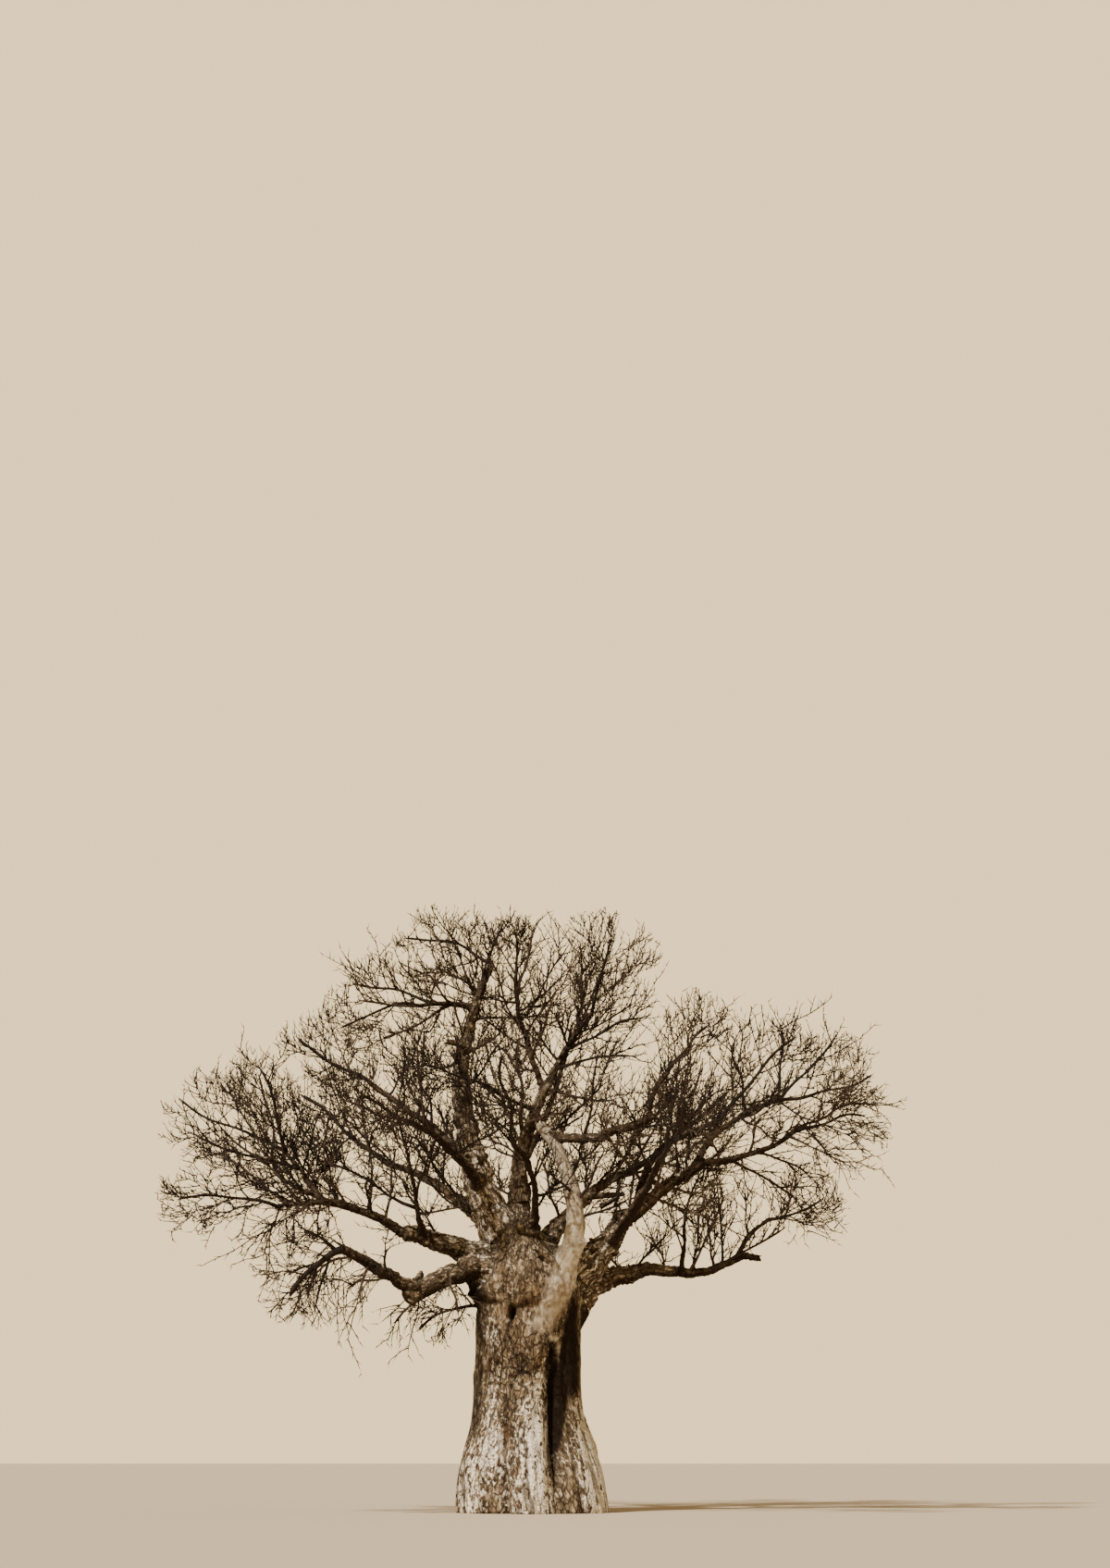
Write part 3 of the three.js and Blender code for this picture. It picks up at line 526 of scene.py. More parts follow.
# For each limb, its number and its rings' middles, radii, run along it, and ways along and across
rings = [(
    np.zeros(len(trunk_heights), int),
    trunk_middle(trunk_heights),
    trunk_radius(trunk_heights),
    trunk_heights,
    np.stack([trunk_zeros, trunk_zeros, trunk_ones], axis=1),
    np.stack([trunk_ones, trunk_zeros, trunk_zeros], axis=1),
    np.stack([trunk_zeros, trunk_ones, trunk_zeros], axis=1),
)]
for index, (name, bearer, at, tip, bow, thick) in enumerate(BOUGHS):
    parent = limbs.get(bearer)
    carries_on = at == 1
    if parent:
        start, seam = leaves_from(parent, at)
        parent_radius = limb_radius(parent, at)
    else:
        start = trunk_middle(np.array(at * TRUNK_TOP))
        parent_radius = trunk_radius(at * TRUNK_TOP)
    if carries_on:
        start = start + SEAM_GAP * seam
    line, length = limb_line(start, crown_point(tip), bow)
    root, end = thick[0] / 2, thick[1] / 2
    room_to_swell = COLLAR_WITHIN_PARENT * parent_radius / root - 1
    limb = {
        "name": name,
        "line": line,
        "length": length,
        "root": root,
        "tip": end,
        "taper": LEADER_TAPER if name == "left_leader" else BOUGH_TAPER,
        "hidden": 0 if carries_on else parent_radius,
        "collar": 0 if carries_on else min(max(room_to_swell, 0), COLLAR_SWELL),
    }
    limbs[name] = limb
    count = max(FEWEST_RINGS, int(length / RING_SPACING))
    shares = np.linspace(0, 1, count + 1)
    middles = line_point(line, shares) + wander(limb, shares, index)
    along, side, over = ring_frames(middles)
    radii = limb_radius(limb, shares)
    rings.append((np.full(count + 1, index + 1), middles, radii, shares * length, along, side, over))

    def place_bough(share, angle):
        ring = np.rint(share * count).astype(int)
        return middles[ring] + radii[ring][:, None] * way_out(angle, side[ring], over[ring])

    add_column(BOUGH_SIDES, count, place_bough)
for root_place, tip_place, root_thick, tip_thick in STUBS:
    ends = np.array([root_place, tip_place])
    along, side, over = ring_frames(ends)

    def place_stub(share, angle):
        radius = (root_thick + (tip_thick - root_thick) * share)[:, None] / 2
        jag = STUB_JAG * (share > 0.99)[:, None] * np.sin(3 * angle + 1)[:, None] * along[0]
        middle = ends[0] + share[:, None] * (ends[1] - ends[0]) + jag
        return middle + radius * way_out(angle, side[0], over[0])

    add_column(BOUGH_SIDES, STUB_STRETCHES, place_stub)

# Bark
# The thin living skin over trunk and boughs alike, wrinkled round every bend, fissured over the
# old wood and peeling off the foot in pale flakes. It is one skin, so trunk and boughs are one
# piece, grown together at the forks.
VOXEL = 0.028
PLACES_AT_ONCE = 16000
JOINT_REACH = 0.4
JOINT_LEVELS = 10
JOINT_SMOOTHINGS = 24
EVEN_SMOOTHINGS = 2
SMOOTHING = 0.5
JOINT_RADIUS = 0.3
WOOD_TRIANGLES = 196000
# How far each kind of relief stands out, the first three as a share of the limb's radius
LUMPS = 0.11
KNOBS = 0.3
RING_WRINKLES = 0.08
RIDGES = 0.011
FINE_RELIEF = 0.006
CREASES = 0.02
# Bark that is still smooth, on the pale stem and at one place on the right web, across and up
SMOOTH_SHARE = 0.35
SMOOTH_PLACE = (1.5, 6.0)
SMOOTH_REACH = 0.8
PALE_LIMB = 1 + [row[0] for row in BOUGHS].index("pale_stem")
ring_limb, ring_middle, ring_radius, ring_run, ring_along, ring_side, ring_over = (
    np.concatenate(column) for column in zip(*rings)
)
ring_first = np.searchsorted(ring_limb, np.arange(len(rings)))


def read_limbs(places):
    """For each place the ring that it lies by, and how far off the next limb's bark is."""
    nearest = np.empty(len(places), int)
    next_gap = np.empty(len(places))
    middle_squared = (ring_middle**2).sum(axis=1)
    for low in range(0, len(places), PLACES_AT_ONCE):
        high = low + PLACES_AT_ONCE
        part = places[low:high]
        squared = (part**2).sum(axis=1)[:, None] + middle_squared - 2 * part @ ring_middle.T
        gap = np.sqrt(np.maximum(squared, 0)) - ring_radius
        by_limb = np.minimum.reduceat(gap, ring_first, axis=1)
        nearest[low:high] = np.argmin(gap, axis=1)
        next_gap[low:high] = np.partition(by_limb, 1, axis=1)[:, 1]
    return nearest, next_gap


def bark_places(places, nearest):
    """Each place in its limb's own terms: across and along the grain, with the limb's radius."""
    off = places - ring_middle[nearest]
    run = ring_run[nearest] + (off * ring_along[nearest]).sum(axis=1)
    angle = np.arctan2((off * ring_side[nearest]).sum(axis=1), -(off * ring_over[nearest]).sum(axis=1))
    radius = ring_radius[nearest]
    shift = 5.7 * ring_limb[nearest]
    grain = np.stack([radius * np.sin(angle) + shift, radius * np.cos(angle), run], axis=1)
    return grain, radius


def bark_rise(places, nearest):
    """How far the bark stands out at each place: lumps, ridges along the grain and rings across it."""
    grain, radius = bark_places(places, nearest)
    on_trunk = ring_limb[nearest] == 0
    size = np.clip(radius, 0.06, 0.7)
    lumps = lattice_noise(grain / (1.6 * size)[:, None] * [1, 1, 0.7], 1)
    knobs = np.maximum(0, lattice_noise(grain / (0.9 * size)[:, None], 2) - 0.35)
    ridges = 1 - 2 * np.abs(lattice_noise(grain * [4.6, 4.6, 1.3], 3))
    creases = 1 - np.abs(lattice_noise(grain * [3.1, 3.1, 2.3], 4)) * 6
    ring_wave = np.sin(2 * np.pi * (grain[:, 2] / (0.5 * size + 0.08) + 0.7 * lattice_noise(grain * 2.3, 5)))
    ring_where = np.maximum(0, lattice_noise(grain * [0.5, 0.5, 0.9], 6) + 0.1)
    fine = lattice_noise(grain * [10, 10, 4.5], 7)
    rise = LUMPS * size * lumps + KNOBS * size * knobs + RIDGES * ridges + FINE_RELIEF * fine
    rise = rise - CREASES * np.clip(creases, 0, 1)
    rise = rise + np.where(on_trunk, 0, RING_WRINKLES * size * ring_where * ring_wave)
    rough = np.where(on_trunk, 0.55 + 0.9 * blend_step(5.2, 6.0, places[:, 2]), 1)
    off_smooth = np.hypot(places[:, 0] - SMOOTH_PLACE[0], places[:, 2] - SMOOTH_PLACE[1])
    smooth = (ring_limb[nearest] == PALE_LIMB) | (off_smooth < SMOOTH_REACH)
    return np.where(smooth, SMOOTH_SHARE, rough) * rise


def work_in(thing):
    """Works an object's modifiers into its mesh."""
    bpy.context.view_layer.update()
    evaluated = thing.evaluated_get(bpy.context.evaluated_depsgraph_get())
    thing.data = bpy.data.meshes.new_from_object(evaluated)
    thing.modifiers.clear()


wood_mesh = bpy.data.meshes.new("wood")
wood_form.to_mesh(wood_mesh)
wood_form.free()
wood = bpy.data.objects.new("wood", wood_mesh)
bpy.context.scene.collection.objects.link(wood)
skin = wood.modifiers.new("one_skin", "REMESH")
skin.mode = "VOXEL"
skin.voxel_size = VOXEL
work_in(wood)
nearest, next_gap = read_limbs(vertex_values(wood.data, "co"))
joint = np.clip(1 - next_gap / JOINT_REACH, 0, 1) * np.clip(ring_radius[nearest] / JOINT_RADIUS, 0.1, 1)
joints = wood.vertex_groups.new(name="joints")
for level in range(1, JOINT_LEVELS + 1):
    members = np.nonzero(np.rint(joint * JOINT_LEVELS) == level)[0]
    joints.add(members.tolist(), level / JOINT_LEVELS, "REPLACE")
soften = wood.modifiers.new("soften_joints", "SMOOTH")
soften.factor = SMOOTHING
soften.iterations = JOINT_SMOOTHINGS
soften.vertex_group = "joints"
even = wood.modifiers.new("even", "SMOOTH")
even.factor = SMOOTHING
even.iterations = EVEN_SMOOTHINGS
work_in(wood)
places = vertex_values(wood.data, "co")
nearest, next_gap = read_limbs(places)
places = places + bark_rise(places, nearest)[:, None] * vertex_values(wood.data, "normal")
wood.data.vertices.foreach_set("co", places.ravel())
wood.data.update()
thin = wood.modifiers.new("thin", "DECIMATE")
thin.ratio = min(1, WOOD_TRIANGLES / (2 * len(wood.data.polygons)))
work_in(wood)
foot_form = bmesh.new()
foot_form.from_mesh(wood.data)
cut = bmesh.ops.bisect_plane(
    foot_form,
    geom=foot_form.verts[:] + foot_form.edges[:] + foot_form.faces[:],
    plane_co=(0, 0, 0),
    plane_no=(0, 0, 1),
    clear_inner=True,
)
rim = [piece for piece in cut["geom_cut"] if isinstance(piece, bmesh.types.BMEdge)]
bmesh.ops.edgeloop_fill(foot_form, edges=rim)
bmesh.ops.triangulate(foot_form, faces=[face for face in foot_form.faces if len(face.verts) > 4])
bmesh.ops.recalc_face_normals(foot_form, faces=foot_form.faces[:])
trunk_and_boughs_mesh = bpy.data.meshes.new("trunk_and_boughs")
foot_form.to_mesh(trunk_and_boughs_mesh)
foot_form.free()
bpy.data.objects.remove(wood)
trunk_and_boughs_mesh.polygons.foreach_set("use_smooth", np.ones(len(trunk_and_boughs_mesh.polygons), bool))
trunk_and_boughs = bpy.data.objects.new("trunk_and_boughs", trunk_and_boughs_mesh)
bpy.context.scene.collection.objects.link(trunk_and_boughs)

# The bark's places for its grain, and how far it is pale, smooth and cream, rusty, darkened by painted
# shade, or dark as the thin bark of young limbs with painted shade on undersides. Each is 0 to 1 at every
# vertex.
# Rusty stains on the front: the middle across and up, the half sizes, and the strength
RUST_SPOTS = [
    ((1.9, 6.05), (0.4, 0.4), 0.4),
    ((-0.79, 2.25), (0.14, 0.6), 1.0),
    ((-0.22, 6.12), (0.4, 0.4), 0.25),
]
places = vertex_values(trunk_and_boughs_mesh, "co")
nearest, next_gap = read_limbs(places)
grain, radius = bark_places(places, nearest)
on_trunk = ring_limb[nearest] == 0
x, y, z = places.T
bearing = np.degrees(np.arctan2(x - trunk_middle(z)[:, 0], -y))
base = trunk_radius(np.clip(z, 0, TRUNK_TOP - 0.1))
_, hollow_shade, tongue, burly, burr_lip = trunk_marks(bearing, z, base)
# Painted shade in the folds, darker where they cut deeper
fold_shade = fold_cut(FOLDS, bearing, z, base) / 0.14 + fold_cut(WRINKLES, bearing, z, base) / 0.12
across = np.radians(turned(bearing, 0)) * base
# The painted shade on the flank right of the deep fold, ragged where it ends
flank_start = np.radians(np.interp(z, [1.4, 3.3, 4.1, 5.2, 5.9], [28, 29, 38, 46, 55])) * base
beside = across - flank_start
flank_foot = 1.7 + 1.5 * blend_step(0.0, 0.75, beside) + 2.2 * blend_step(0.9, 2.2, beside)
flank_shade = blend_step(-0.12, 0.02, beside) * (bearing > 0)
flank_ragged = lattice_noise(grain * [2.4, 2.4, 0.7], 26)
flank_rise = z + 0.5 * flank_ragged * blend_step(0.6, 1.2, beside)
flank_shade = flank_shade * blend_step(flank_foot - 0.15, flank_foot + 0.2, flank_rise) * (1 - burr_lip)
flank_shade = flank_shade * (1 - blend_step(5.6, 6.4, z + 0.5 * flank_ragged))
flank_shade = flank_shade * (1 - blend_step(58, 104, bearing + 34 * flank_ragged))
flank_shade = flank_shade * (1 - 0.25 * blend_step(0.2, 0.6, beside) * blend_step(-0.2, 0.5, flank_ragged))
# Pale flakes, thickest at the foot and on the columns, few between them and down the left side
ragged = 0.5 * lattice_noise(grain * [2.2, 2.2, 0.8], 21)
ragged = ragged + 1.6 * blend_step(80, 120, np.abs(bearing)) * lattice_noise(grain * [1.1, 1.1, 0.35], 27)
patches = lattice_noise(grain * [1.7, 1.7, 0.45], 24)
pale = 0.07 + 0.34 * (1 - blend_step(1.4, 4.2, z + ragged)) + 0.46 * patches
between_columns = band(-0.95, -0.7, -0.4, -0.2, across)
pale = pale - 0.22 * between_columns * (1 - blend_step(3.6, 4.4, z))
mid_column = band(-0.25, 0.05, 0.7, 0.85, across)
pale = pale + 0.34 * mid_column * (1 - blend_step(3.8, 4.4, z + 0.5 * ragged))
right_foot = band(48, 62, 80, 100, bearing) * (1 - blend_step(1.9, 2.5, z))
pale = pale + 0.75 * right_foot - 0.3 * band(0.85, 1.0, 1.45, 1.7, across)
side_strip = blend_step(48, 60, -bearing) * (1 - blend_step(66, 104, 20 * patches - bearing))
side_strip = side_strip * band(1.6, 2.5, 5.6, 6.4, z)
pale = pale * (1 - 0.8 * side_strip)
left_column = band(-1.45, -1.25, -0.6, -0.4, across)
pale = pale + 0.2 * left_column * band(3.0, 3.6, 4.9, 5.4, z)
base_of_bough = blend_step(0.22, 0.5, radius)
# The painted shade on the flank leaves no pale flakes there
pale = np.where(on_trunk, np.clip(pale - 0.9 * flank_shade - 0.1 * burly, 0, 1), 0.12 + 0.2 * base_of_bough)
# Smooth cream bark on the tongue, the burr's lip and the lower pale stem
cream = np.where(on_trunk, np.maximum(0.6 * tongue * blend_step(4.6, 6.0, z), 0.8 * burr_lip), 0)
pale_limb = ring_limb[nearest] == PALE_LIMB
cream = np.maximum(cream, np.where(pale_limb, 0.8 - 0.6 * blend_step(7.6, 9.0, z), 0))
pale = pale * (1 - tongue)
# Painted shade, where shade falls: darker in the hollows and folds, on the flank, down the left side,
# under the low left bough's armpit, and in a dim line where limbs meet
painted_shade = hollow_shade + 0.75 * np.clip(fold_shade, 0, 1) ** 1.6 + 1.05 * flank_shade
painted_shade = np.clip(painted_shade + 0.72 * side_strip, 0, 1)
armpit_shade = spot(x + 0.2 * (z - 6.3), z, (-1.82, 6.2), (0.36, 0.6), (4, 4)) * (y < 0.4)
painted_shade = np.maximum(np.where(on_trunk, painted_shade, 0), 0.95 * armpit_shade)
painted_shade = np.maximum(painted_shade, 0.35 * np.clip(1 - next_gap / 0.12, 0, 1) * (~pale_limb))
rust = 0.35 * np.clip(lattice_noise(grain * [1.3, 1.3, 0.7], 22) - 0.25, 0, 1)
for middle, half_sizes, strength in RUST_SPOTS:
    rust = np.maximum(rust, strength * spot(x, z, middle, half_sizes, (2, 2)) * (y < 0))
# Thin dark bark on young limbs, and painted shade on undersides, darker the more they face down; on the trunk
# only the painted shade
down = np.clip(-vertex_values(trunk_and_boughs_mesh, "normal")[:, 2], 0, 1)
thin = 0.08 + 0.7 * (1 - blend_step(0.05, 0.26, radius)) + 0.75 * blend_step(0.0, 0.7, down)
trunk_underside_shade = 0.6 * blend_step(0.15, 0.7, down)
thin = thin + 0.4 * lattice_noise(grain * [0.9, 0.9, 0.6], 25) * blend_step(0.08, 0.2, radius)
thin = thin * (1 - 0.45 * base_of_bough)
thin = np.clip(np.where(on_trunk, trunk_underside_shade, thin * np.where(pale_limb, 0.35, 1)), 0, 0.95)
for field, values in (("pale", pale), ("cream", cream), ("painted_shade", painted_shade), ("rust", rust), ("thin", thin)):
    layer = trunk_and_boughs_mesh.attributes.new(field, "FLOAT", "POINT")
    layer.data.foreach_set("value", values.astype(np.float32))
grain_layer = trunk_and_boughs_mesh.attributes.new("grain", "FLOAT_VECTOR", "POINT")
grain_layer.data.foreach_set("vector", grain.astype(np.float32).ravel())


def added_node(tree, kind, inputs, **settings):
    """A new shader node, each of its inputs set to a value or linked to another node's output."""
    made = tree.nodes.new("ShaderNode" + kind)
    for name, value in settings.items():
        setattr(made, name, value)
    for name, value in inputs.items():
        if isinstance(value, bpy.types.NodeSocket):
            tree.links.new(value, made.inputs[name])
        else:
            made.inputs[name].default_value = value
    return made


# Fibre: the fine relief along the grain that old bark and twig bark share
STREAK_STRETCH = (1, 1, 0.22)
fibre = bpy.data.node_groups.new("fibre", "ShaderNodeTree")
fibre.interface.new_socket("Place", in_out="INPUT", socket_type="NodeSocketVector")
fibre.interface.new_socket("Scale", in_out="INPUT", socket_type="NodeSocketFloat")
fibre.interface.new_socket("Streaks", in_out="OUTPUT", socket_type="NodeSocketFloat")
fibre.interface.new_socket("Mottle", in_out="OUTPUT", socket_type="NodeSocketFloat")
fibre_in = fibre.nodes.new("NodeGroupInput")
fibre_out = fibre.nodes.new("NodeGroupOutput")
fibre_place = fibre_in.outputs["Place"]
fibre_scale = fibre_in.outputs["Scale"]
streak_places = added_node(fibre, "Mapping", {"Vector": fibre_place, "Scale": STREAK_STRETCH})
streak_places = streak_places.outputs["Vector"]
streak_inputs = {"Vector": streak_places, "Scale": fibre_scale, "Detail": 5, "Roughness": 0.62}
streaks = added_node(fibre, "TexNoise", streak_inputs)
mottle = added_node(fibre, "TexNoise", {"Vector": fibre_place, "Scale": fibre_scale, "Detail": 4})
fibre.links.new(streaks.outputs["Fac"], fibre_out.inputs["Streaks"])
fibre.links.new(mottle.outputs["Fac"], fibre_out.inputs["Mottle"])

STAR_MIDDLE = (-0.4, 3.9)
STAR_RAYS = 8
STAR_REACH = 1.6
STAR_WAVER = 2.6
bark = bpy.data.materials.new("bark")
bark.use_nodes = True
tree = bark.node_tree


def math_node(kind, first, second=0.0, clamp=False):
    """A sum; each of first and second is a number or another node's output."""
    return added_node(tree, "Math", {0: first, 1: second}, operation=kind, use_clamp=clamp).outputs["Value"]


def product(first, *others):
    for other in others:
        first = math_node("MULTIPLY", first, other)
    return first


def range_node(value, low, high, to_low=0.0, to_high=1.0):
    """A smooth way from to_low, where the value is low, to to_high, where it is high."""
    inputs = {"Value": value, "From Min": low, "From Max": high, "To Min": to_low, "To Max": to_high}
    return added_node(tree, "MapRange", inputs, interpolation_type="SMOOTHSTEP").outputs["Result"]


def falling(value, low, high):
    return range_node(value, low, high, 1.0, 0.0)


def tint_node(share, first, second):
    """One colour going over into another by a share; each is a colour or another node's output."""
    first, second = ((*value, 1) if isinstance(value, tuple) else value for value in (first, second))
    return added_node(tree, "Mix", {"Factor": share, 6: first, 7: second}, data_type="RGBA").outputs[2]


def noise_node(places, scale, detail, **others):
    inputs = {"Vector": places, "Scale": scale, "Detail": detail, **others}
    return added_node(tree, "TexNoise", inputs).outputs


def drawn_out(places, stretch):
    return added_node(tree, "Mapping", {"Vector": places, "Scale": stretch}).outputs["Vector"]


def fibre_node(places, scale):
    return added_node(tree, "Group", {"Place": places, "Scale": scale}, node_tree=fibre).outputs


def finish_bark(tone, roughness, shine, height, strength, distance):
    """Gives the material its colour, roughness, shine and relief."""
    shader = tree.nodes["Principled BSDF"]
    relief = added_node(tree, "Bump", {"Strength": strength, "Distance": distance, "Height": height})
    tree.links.new(tone, shader.inputs["Base Color"])
    tree.links.new(roughness, shader.inputs["Roughness"])
    tree.links.new(relief.outputs["Normal"], shader.inputs["Normal"])
    shader.inputs["Specular IOR Level"].default_value = shine


grain_field = added_node(tree, "Attribute", {}, attribute_name="grain").outputs["Vector"]
pale_field, cream_field, painted_shade_field, rust_field, thin_bark_and_underside_shade_field = (
    added_node(tree, "Attribute", {}, attribute_name=name).outputs["Fac"]
    for name in ("pale", "cream", "painted_shade", "rust", "thin")
)
coarse = fibre_node(grain_field, 5.5)
fine_fibre = fibre_node(grain_field, 21)
broad = noise_node(grain_field, 1.1, 3)
bent_inputs = {"Factor": 0.3, 4: grain_field, 5: broad["Color"]}
bent = added_node(tree, "Mix", bent_inputs, data_type="VECTOR").outputs[1]
plate_inputs = {"Vector": drawn_out(bent, (1, 1, 0.5)), "Scale": 9}
plates = added_node(tree, "TexVoronoi", plate_inputs, feature="DISTANCE_TO_EDGE").outputs["Distance"]
flecks = noise_node(drawn_out(grain_field, (1, 1, 0.55)), 9.5, 6, Roughness=0.68, Distortion=0.5)["Fac"]
seams = noise_node(drawn_out(grain_field, (1, 1, 0.1)), 7, 4, Distortion=0.3)["Fac"]

# The star of cracks on the front, round its own middle: rays that waver, longer upward
place = added_node(tree, "TexCoord", {}).outputs["Object"]
place_parts = added_node(tree, "SeparateXYZ", {0: place}).outputs
star_across = math_node("ADD", place_parts["X"], -STAR_MIDDLE[0])
star_up = math_node("ADD", place_parts["Z"], -STAR_MIDDLE[1])
star_arm = added_node(tree, "CombineXYZ", {"X": star_across, "Y": star_up}).outputs["Vector"]
star_reach = added_node(tree, "VectorMath", {0: star_arm}, operation="LENGTH").outputs["Value"]
star_waver = product(noise_node(place, 2.2, 4)["Fac"], STAR_WAVER)
star_turn = math_node("ADD", math_node("ARCTAN2", star_up, star_across), star_waver)
star_wave = math_node("ABSOLUTE", math_node("SINE", product(star_turn, STAR_RAYS / 2)))
star = product(
    falling(product(star_wave, star_reach), 0.02, 0.11),
    falling(star_reach, 0.6, STAR_REACH),
    range_node(star_up, -0.45, -0.1),
    falling(place_parts["Y"], -1.2, -1.0),
)

# Between plates of dark bark, down the pale bark, and where bark has come away in scales and flakes
fissure = product(
    falling(plates, 0.0, 0.13),
    range_node(broad["Fac"], 0.34, 0.5),
    falling(pale_field, 0.25, 0.55),
    falling(cream_field, 0.05, 0.3),
)
seam = product(falling(seams, 0.38, 0.49), range_node(pale_field, 0.32, 0.42))
scales = product(range_node(flecks, 0.535, 0.6, 0.0, 0.62), falling(thin_bark_and_underside_shade_field, 0.1, 0.5))
fleck_edge = math_node("ADD", flecks, product(pale_field, 0.19))
fleck_edge = math_node("SUBTRACT", fleck_edge, product(thin_bark_and_underside_shade_field, 0.1))
flakes = product(range_node(fleck_edge, 0.572, 0.625), range_node(pale_field, 0.02, 0.25))
flake_tone = tint_node(range_node(fine_fibre["Mottle"], 0.34, 0.6), (0.42, 0.33, 0.23), (0.92, 0.86, 0.73))
smooth_tone = tint_node(range_node(coarse["Mottle"], 0.35, 0.65), (0.36, 0.28, 0.19), (0.86, 0.78, 0.62))
rust = product(rust_field, range_node(coarse["Mottle"], 0.35, 0.6))
tone = tint_node(range_node(coarse["Mottle"], 0.34, 0.66), (0.05, 0.032, 0.018), (0.25, 0.175, 0.108))
# Each layer that is laid over the tone in turn: its share, and its colour
for share, colour in (
    (range_node(fine_fibre["Streaks"], 0.42, 0.6, 0.0, 0.6), (0.42, 0.325, 0.21)),
    (range_node(coarse["Streaks"], 0.42, 0.6, 0.6, 0.0), (0.035, 0.021, 0.012)),
    (scales, (0.62, 0.52, 0.37)),
    (range_node(flecks, 0.4, 0.45, 0.7, 0.0), (0.022, 0.013, 0.008)),
    # Thin bark of young limbs, and painted shade on undersides
    (thin_bark_and_underside_shade_field, (0.014, 0.008, 0.0045)),
    (flakes, flake_tone),
    (cream_field, smooth_tone),
    (rust, (0.17, 0.09, 0.04)),
    (product(seam, 0.75), (0.04, 0.022, 0.012)),
    (product(fissure, 0.8), (0.02, 0.011, 0.006)),
    (product(star, 0.9), (0.012, 0.007, 0.004)),
    # Painted shade in hollows, folds, flank, armpit and limb joins, near black
    (math_node("MULTIPLY", painted_shade_field, 0.97, True), (0.01, 0.0055, 0.003)),
):
    tone = tint_node(share, tone, colour)
height = product(coarse["Streaks"], 0.5)
for part, depth in ((fine_fibre["Streaks"], 0.25), (flecks, 0.5), (fissure, -0.35), (seam, -0.2)):
    height = math_node("ADD", height, product(part, depth))
finish_bark(tone, range_node(fine_fibre["Mottle"], 0.3, 0.7, 0.8, 0.97), 0.1, height, 0.9, 0.07)
trunk_and_boughs_mesh.materials.append(bark)
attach(trunk_and_boughs, "root")
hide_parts("trunk", *[row[0] for row in BOUGHS])

# Masses of twigs
# Each bough ends in a mass of bare twigs: a stem that carries the bough on, branchlets that fan
# out from it, and spurs along every branchlet. Each grows by the same rule from its own seed, and
# is skipped where it would leave the mass's space or come near a limb.
TWIG_LIFT = 0.22
# Each mass: the limb that bears it, how far along that limb, the tip and the bow of its stem as for a
# bough, how far along the stem the middle of its ball is, the ball's radius, and its twigs' lift
MASSES = [
    ("top_left_twigs", "top_left_arm", 1, (-52, -21, 77), (0, 0, 8), 0.5, 1.85, TWIG_LIFT),
    ("crest_left_twigs", "left_leader", 1, (-37, 2, 95), (3, 0, 10), 0.55, 1.7, TWIG_LIFT),
    ("upper_left_twigs", "upper_left_bough", 1, (-68, 29, 81), (0, 0, -4), 0.6, 1.9, TWIG_LIFT),
    ("far_left_high_twigs", "mid_left_riser", 1, (-96, -4, 67), (0, 0, -3), 0.6, 1.95, TWIG_LIFT),
    ("far_left_twigs", "mid_left_arm", 1, (-89, -44, 47.5), (0, 0, 6), 0.58, 1.9, 0.05),
    ("back_far_left_twigs", "back_left_riser", 1, (-80, 37, 75), (4, 0, 0), 0.65, 2, TWIG_LIFT),
    ("left_inner_twigs", "mid_left_stem", 1, (-35, -31, 62), (0, 0, 0), 0.6, 1.6, TWIG_LIFT),
    ("low_left_twigs", "low_left_forearm", 1, (-60, -46, 32.5), (0, 0, 10), 0.55, 1.9, -0.25),
    ("trunk_spray_twigs", "trunk", 0.76, (-30, -14, 28), (0, 0, 12), 0.5, 1.3, -0.3),
    ("front_left_twigs", "front_left_bough", 1, (-42, -80, 61), (0, 0, 0), 0.5, 2.3, TWIG_LIFT),
    ("crest_twigs", "centre_left_leader", 1, (-6, 8, 98), (4, 0, 0), 0.45, 1.6, TWIG_LIFT),
    ("crest_right_twigs", "centre_right_leader", 1, (21, -6, 95), (0, 0, 0), 0.52, 2.1, TWIG_LIFT),
    ("centre_left_twigs", "centre_arm", 1, (-29, -34, 70), (0, 0, 0), 0.5, 1.8, TWIG_LIFT),
    ("upper_right_twigs", "shelf_riser", 1, (45, -40, 76), (-3, 0, 0), 0.5, 1.9, TWIG_LIFT),
    ("front_twigs", "front_stem", 1, (-8, -74, 68), (0, 0, 0), 0.55, 2.3, TWIG_LIFT),
    ("right_high_twigs", "right_riser", 1, (68, -34, 74.5), (0, 0, 4), 0.6, 1.9, TWIG_LIFT),
    ("far_right_high_twigs", "right_fork_high", 1, (96, 31, 74), (0, 0, -4), 0.58, 1.9, TWIG_LIFT),
    ("far_right_twigs", "right_fork_low", 1, (86, -27, 62), (0, 0, 4), 0.5, 1.9, -0.08),
    ("front_right_twigs", "front_right_bough", 1, (37, -86, 60), (0, 0, 0), 0.5, 2.25, TWIG_LIFT),
    ("low_right_twigs", "low_right_spur", 1, (80, 32, 52), (0, 0, -6), 0.5, 1.8, TWIG_LIFT),
    ("right_under_twigs", "low_right_riser", 1, (44, 0, 54), (-6, 0, 0), 0.4, 1.7, TWIG_LIFT),
    ("back_right_twigs", "back_right_bough", 1, (58, 82, 75), (0, 0, 0), 0.55, 2.6, TWIG_LIFT),
    ("back_twigs", "back_bough", 1, (-6, 88, 87), (0, 0, 0), 0.5, 2.5, TWIG_LIFT),
    ("back_left_twigs", "back_left_bough", 1, (-72, 80, 75), (0, 0, 0), 0.55, 2.6, TWIG_LIFT),
    ("back_high_twigs", "back_high_bough", 1, (20.5, 53, 96), (0, 0, 0), 0.5, 2.2, TWIG_LIFT),
]
TRUNK_SPRAY_CLEAR = 0.42
TRUNK_SPRAY_RADIUS = WAIST_RADIUS / 24
STEM_END_SHARE = 0.3
GOLDEN_TURN = 2.39996
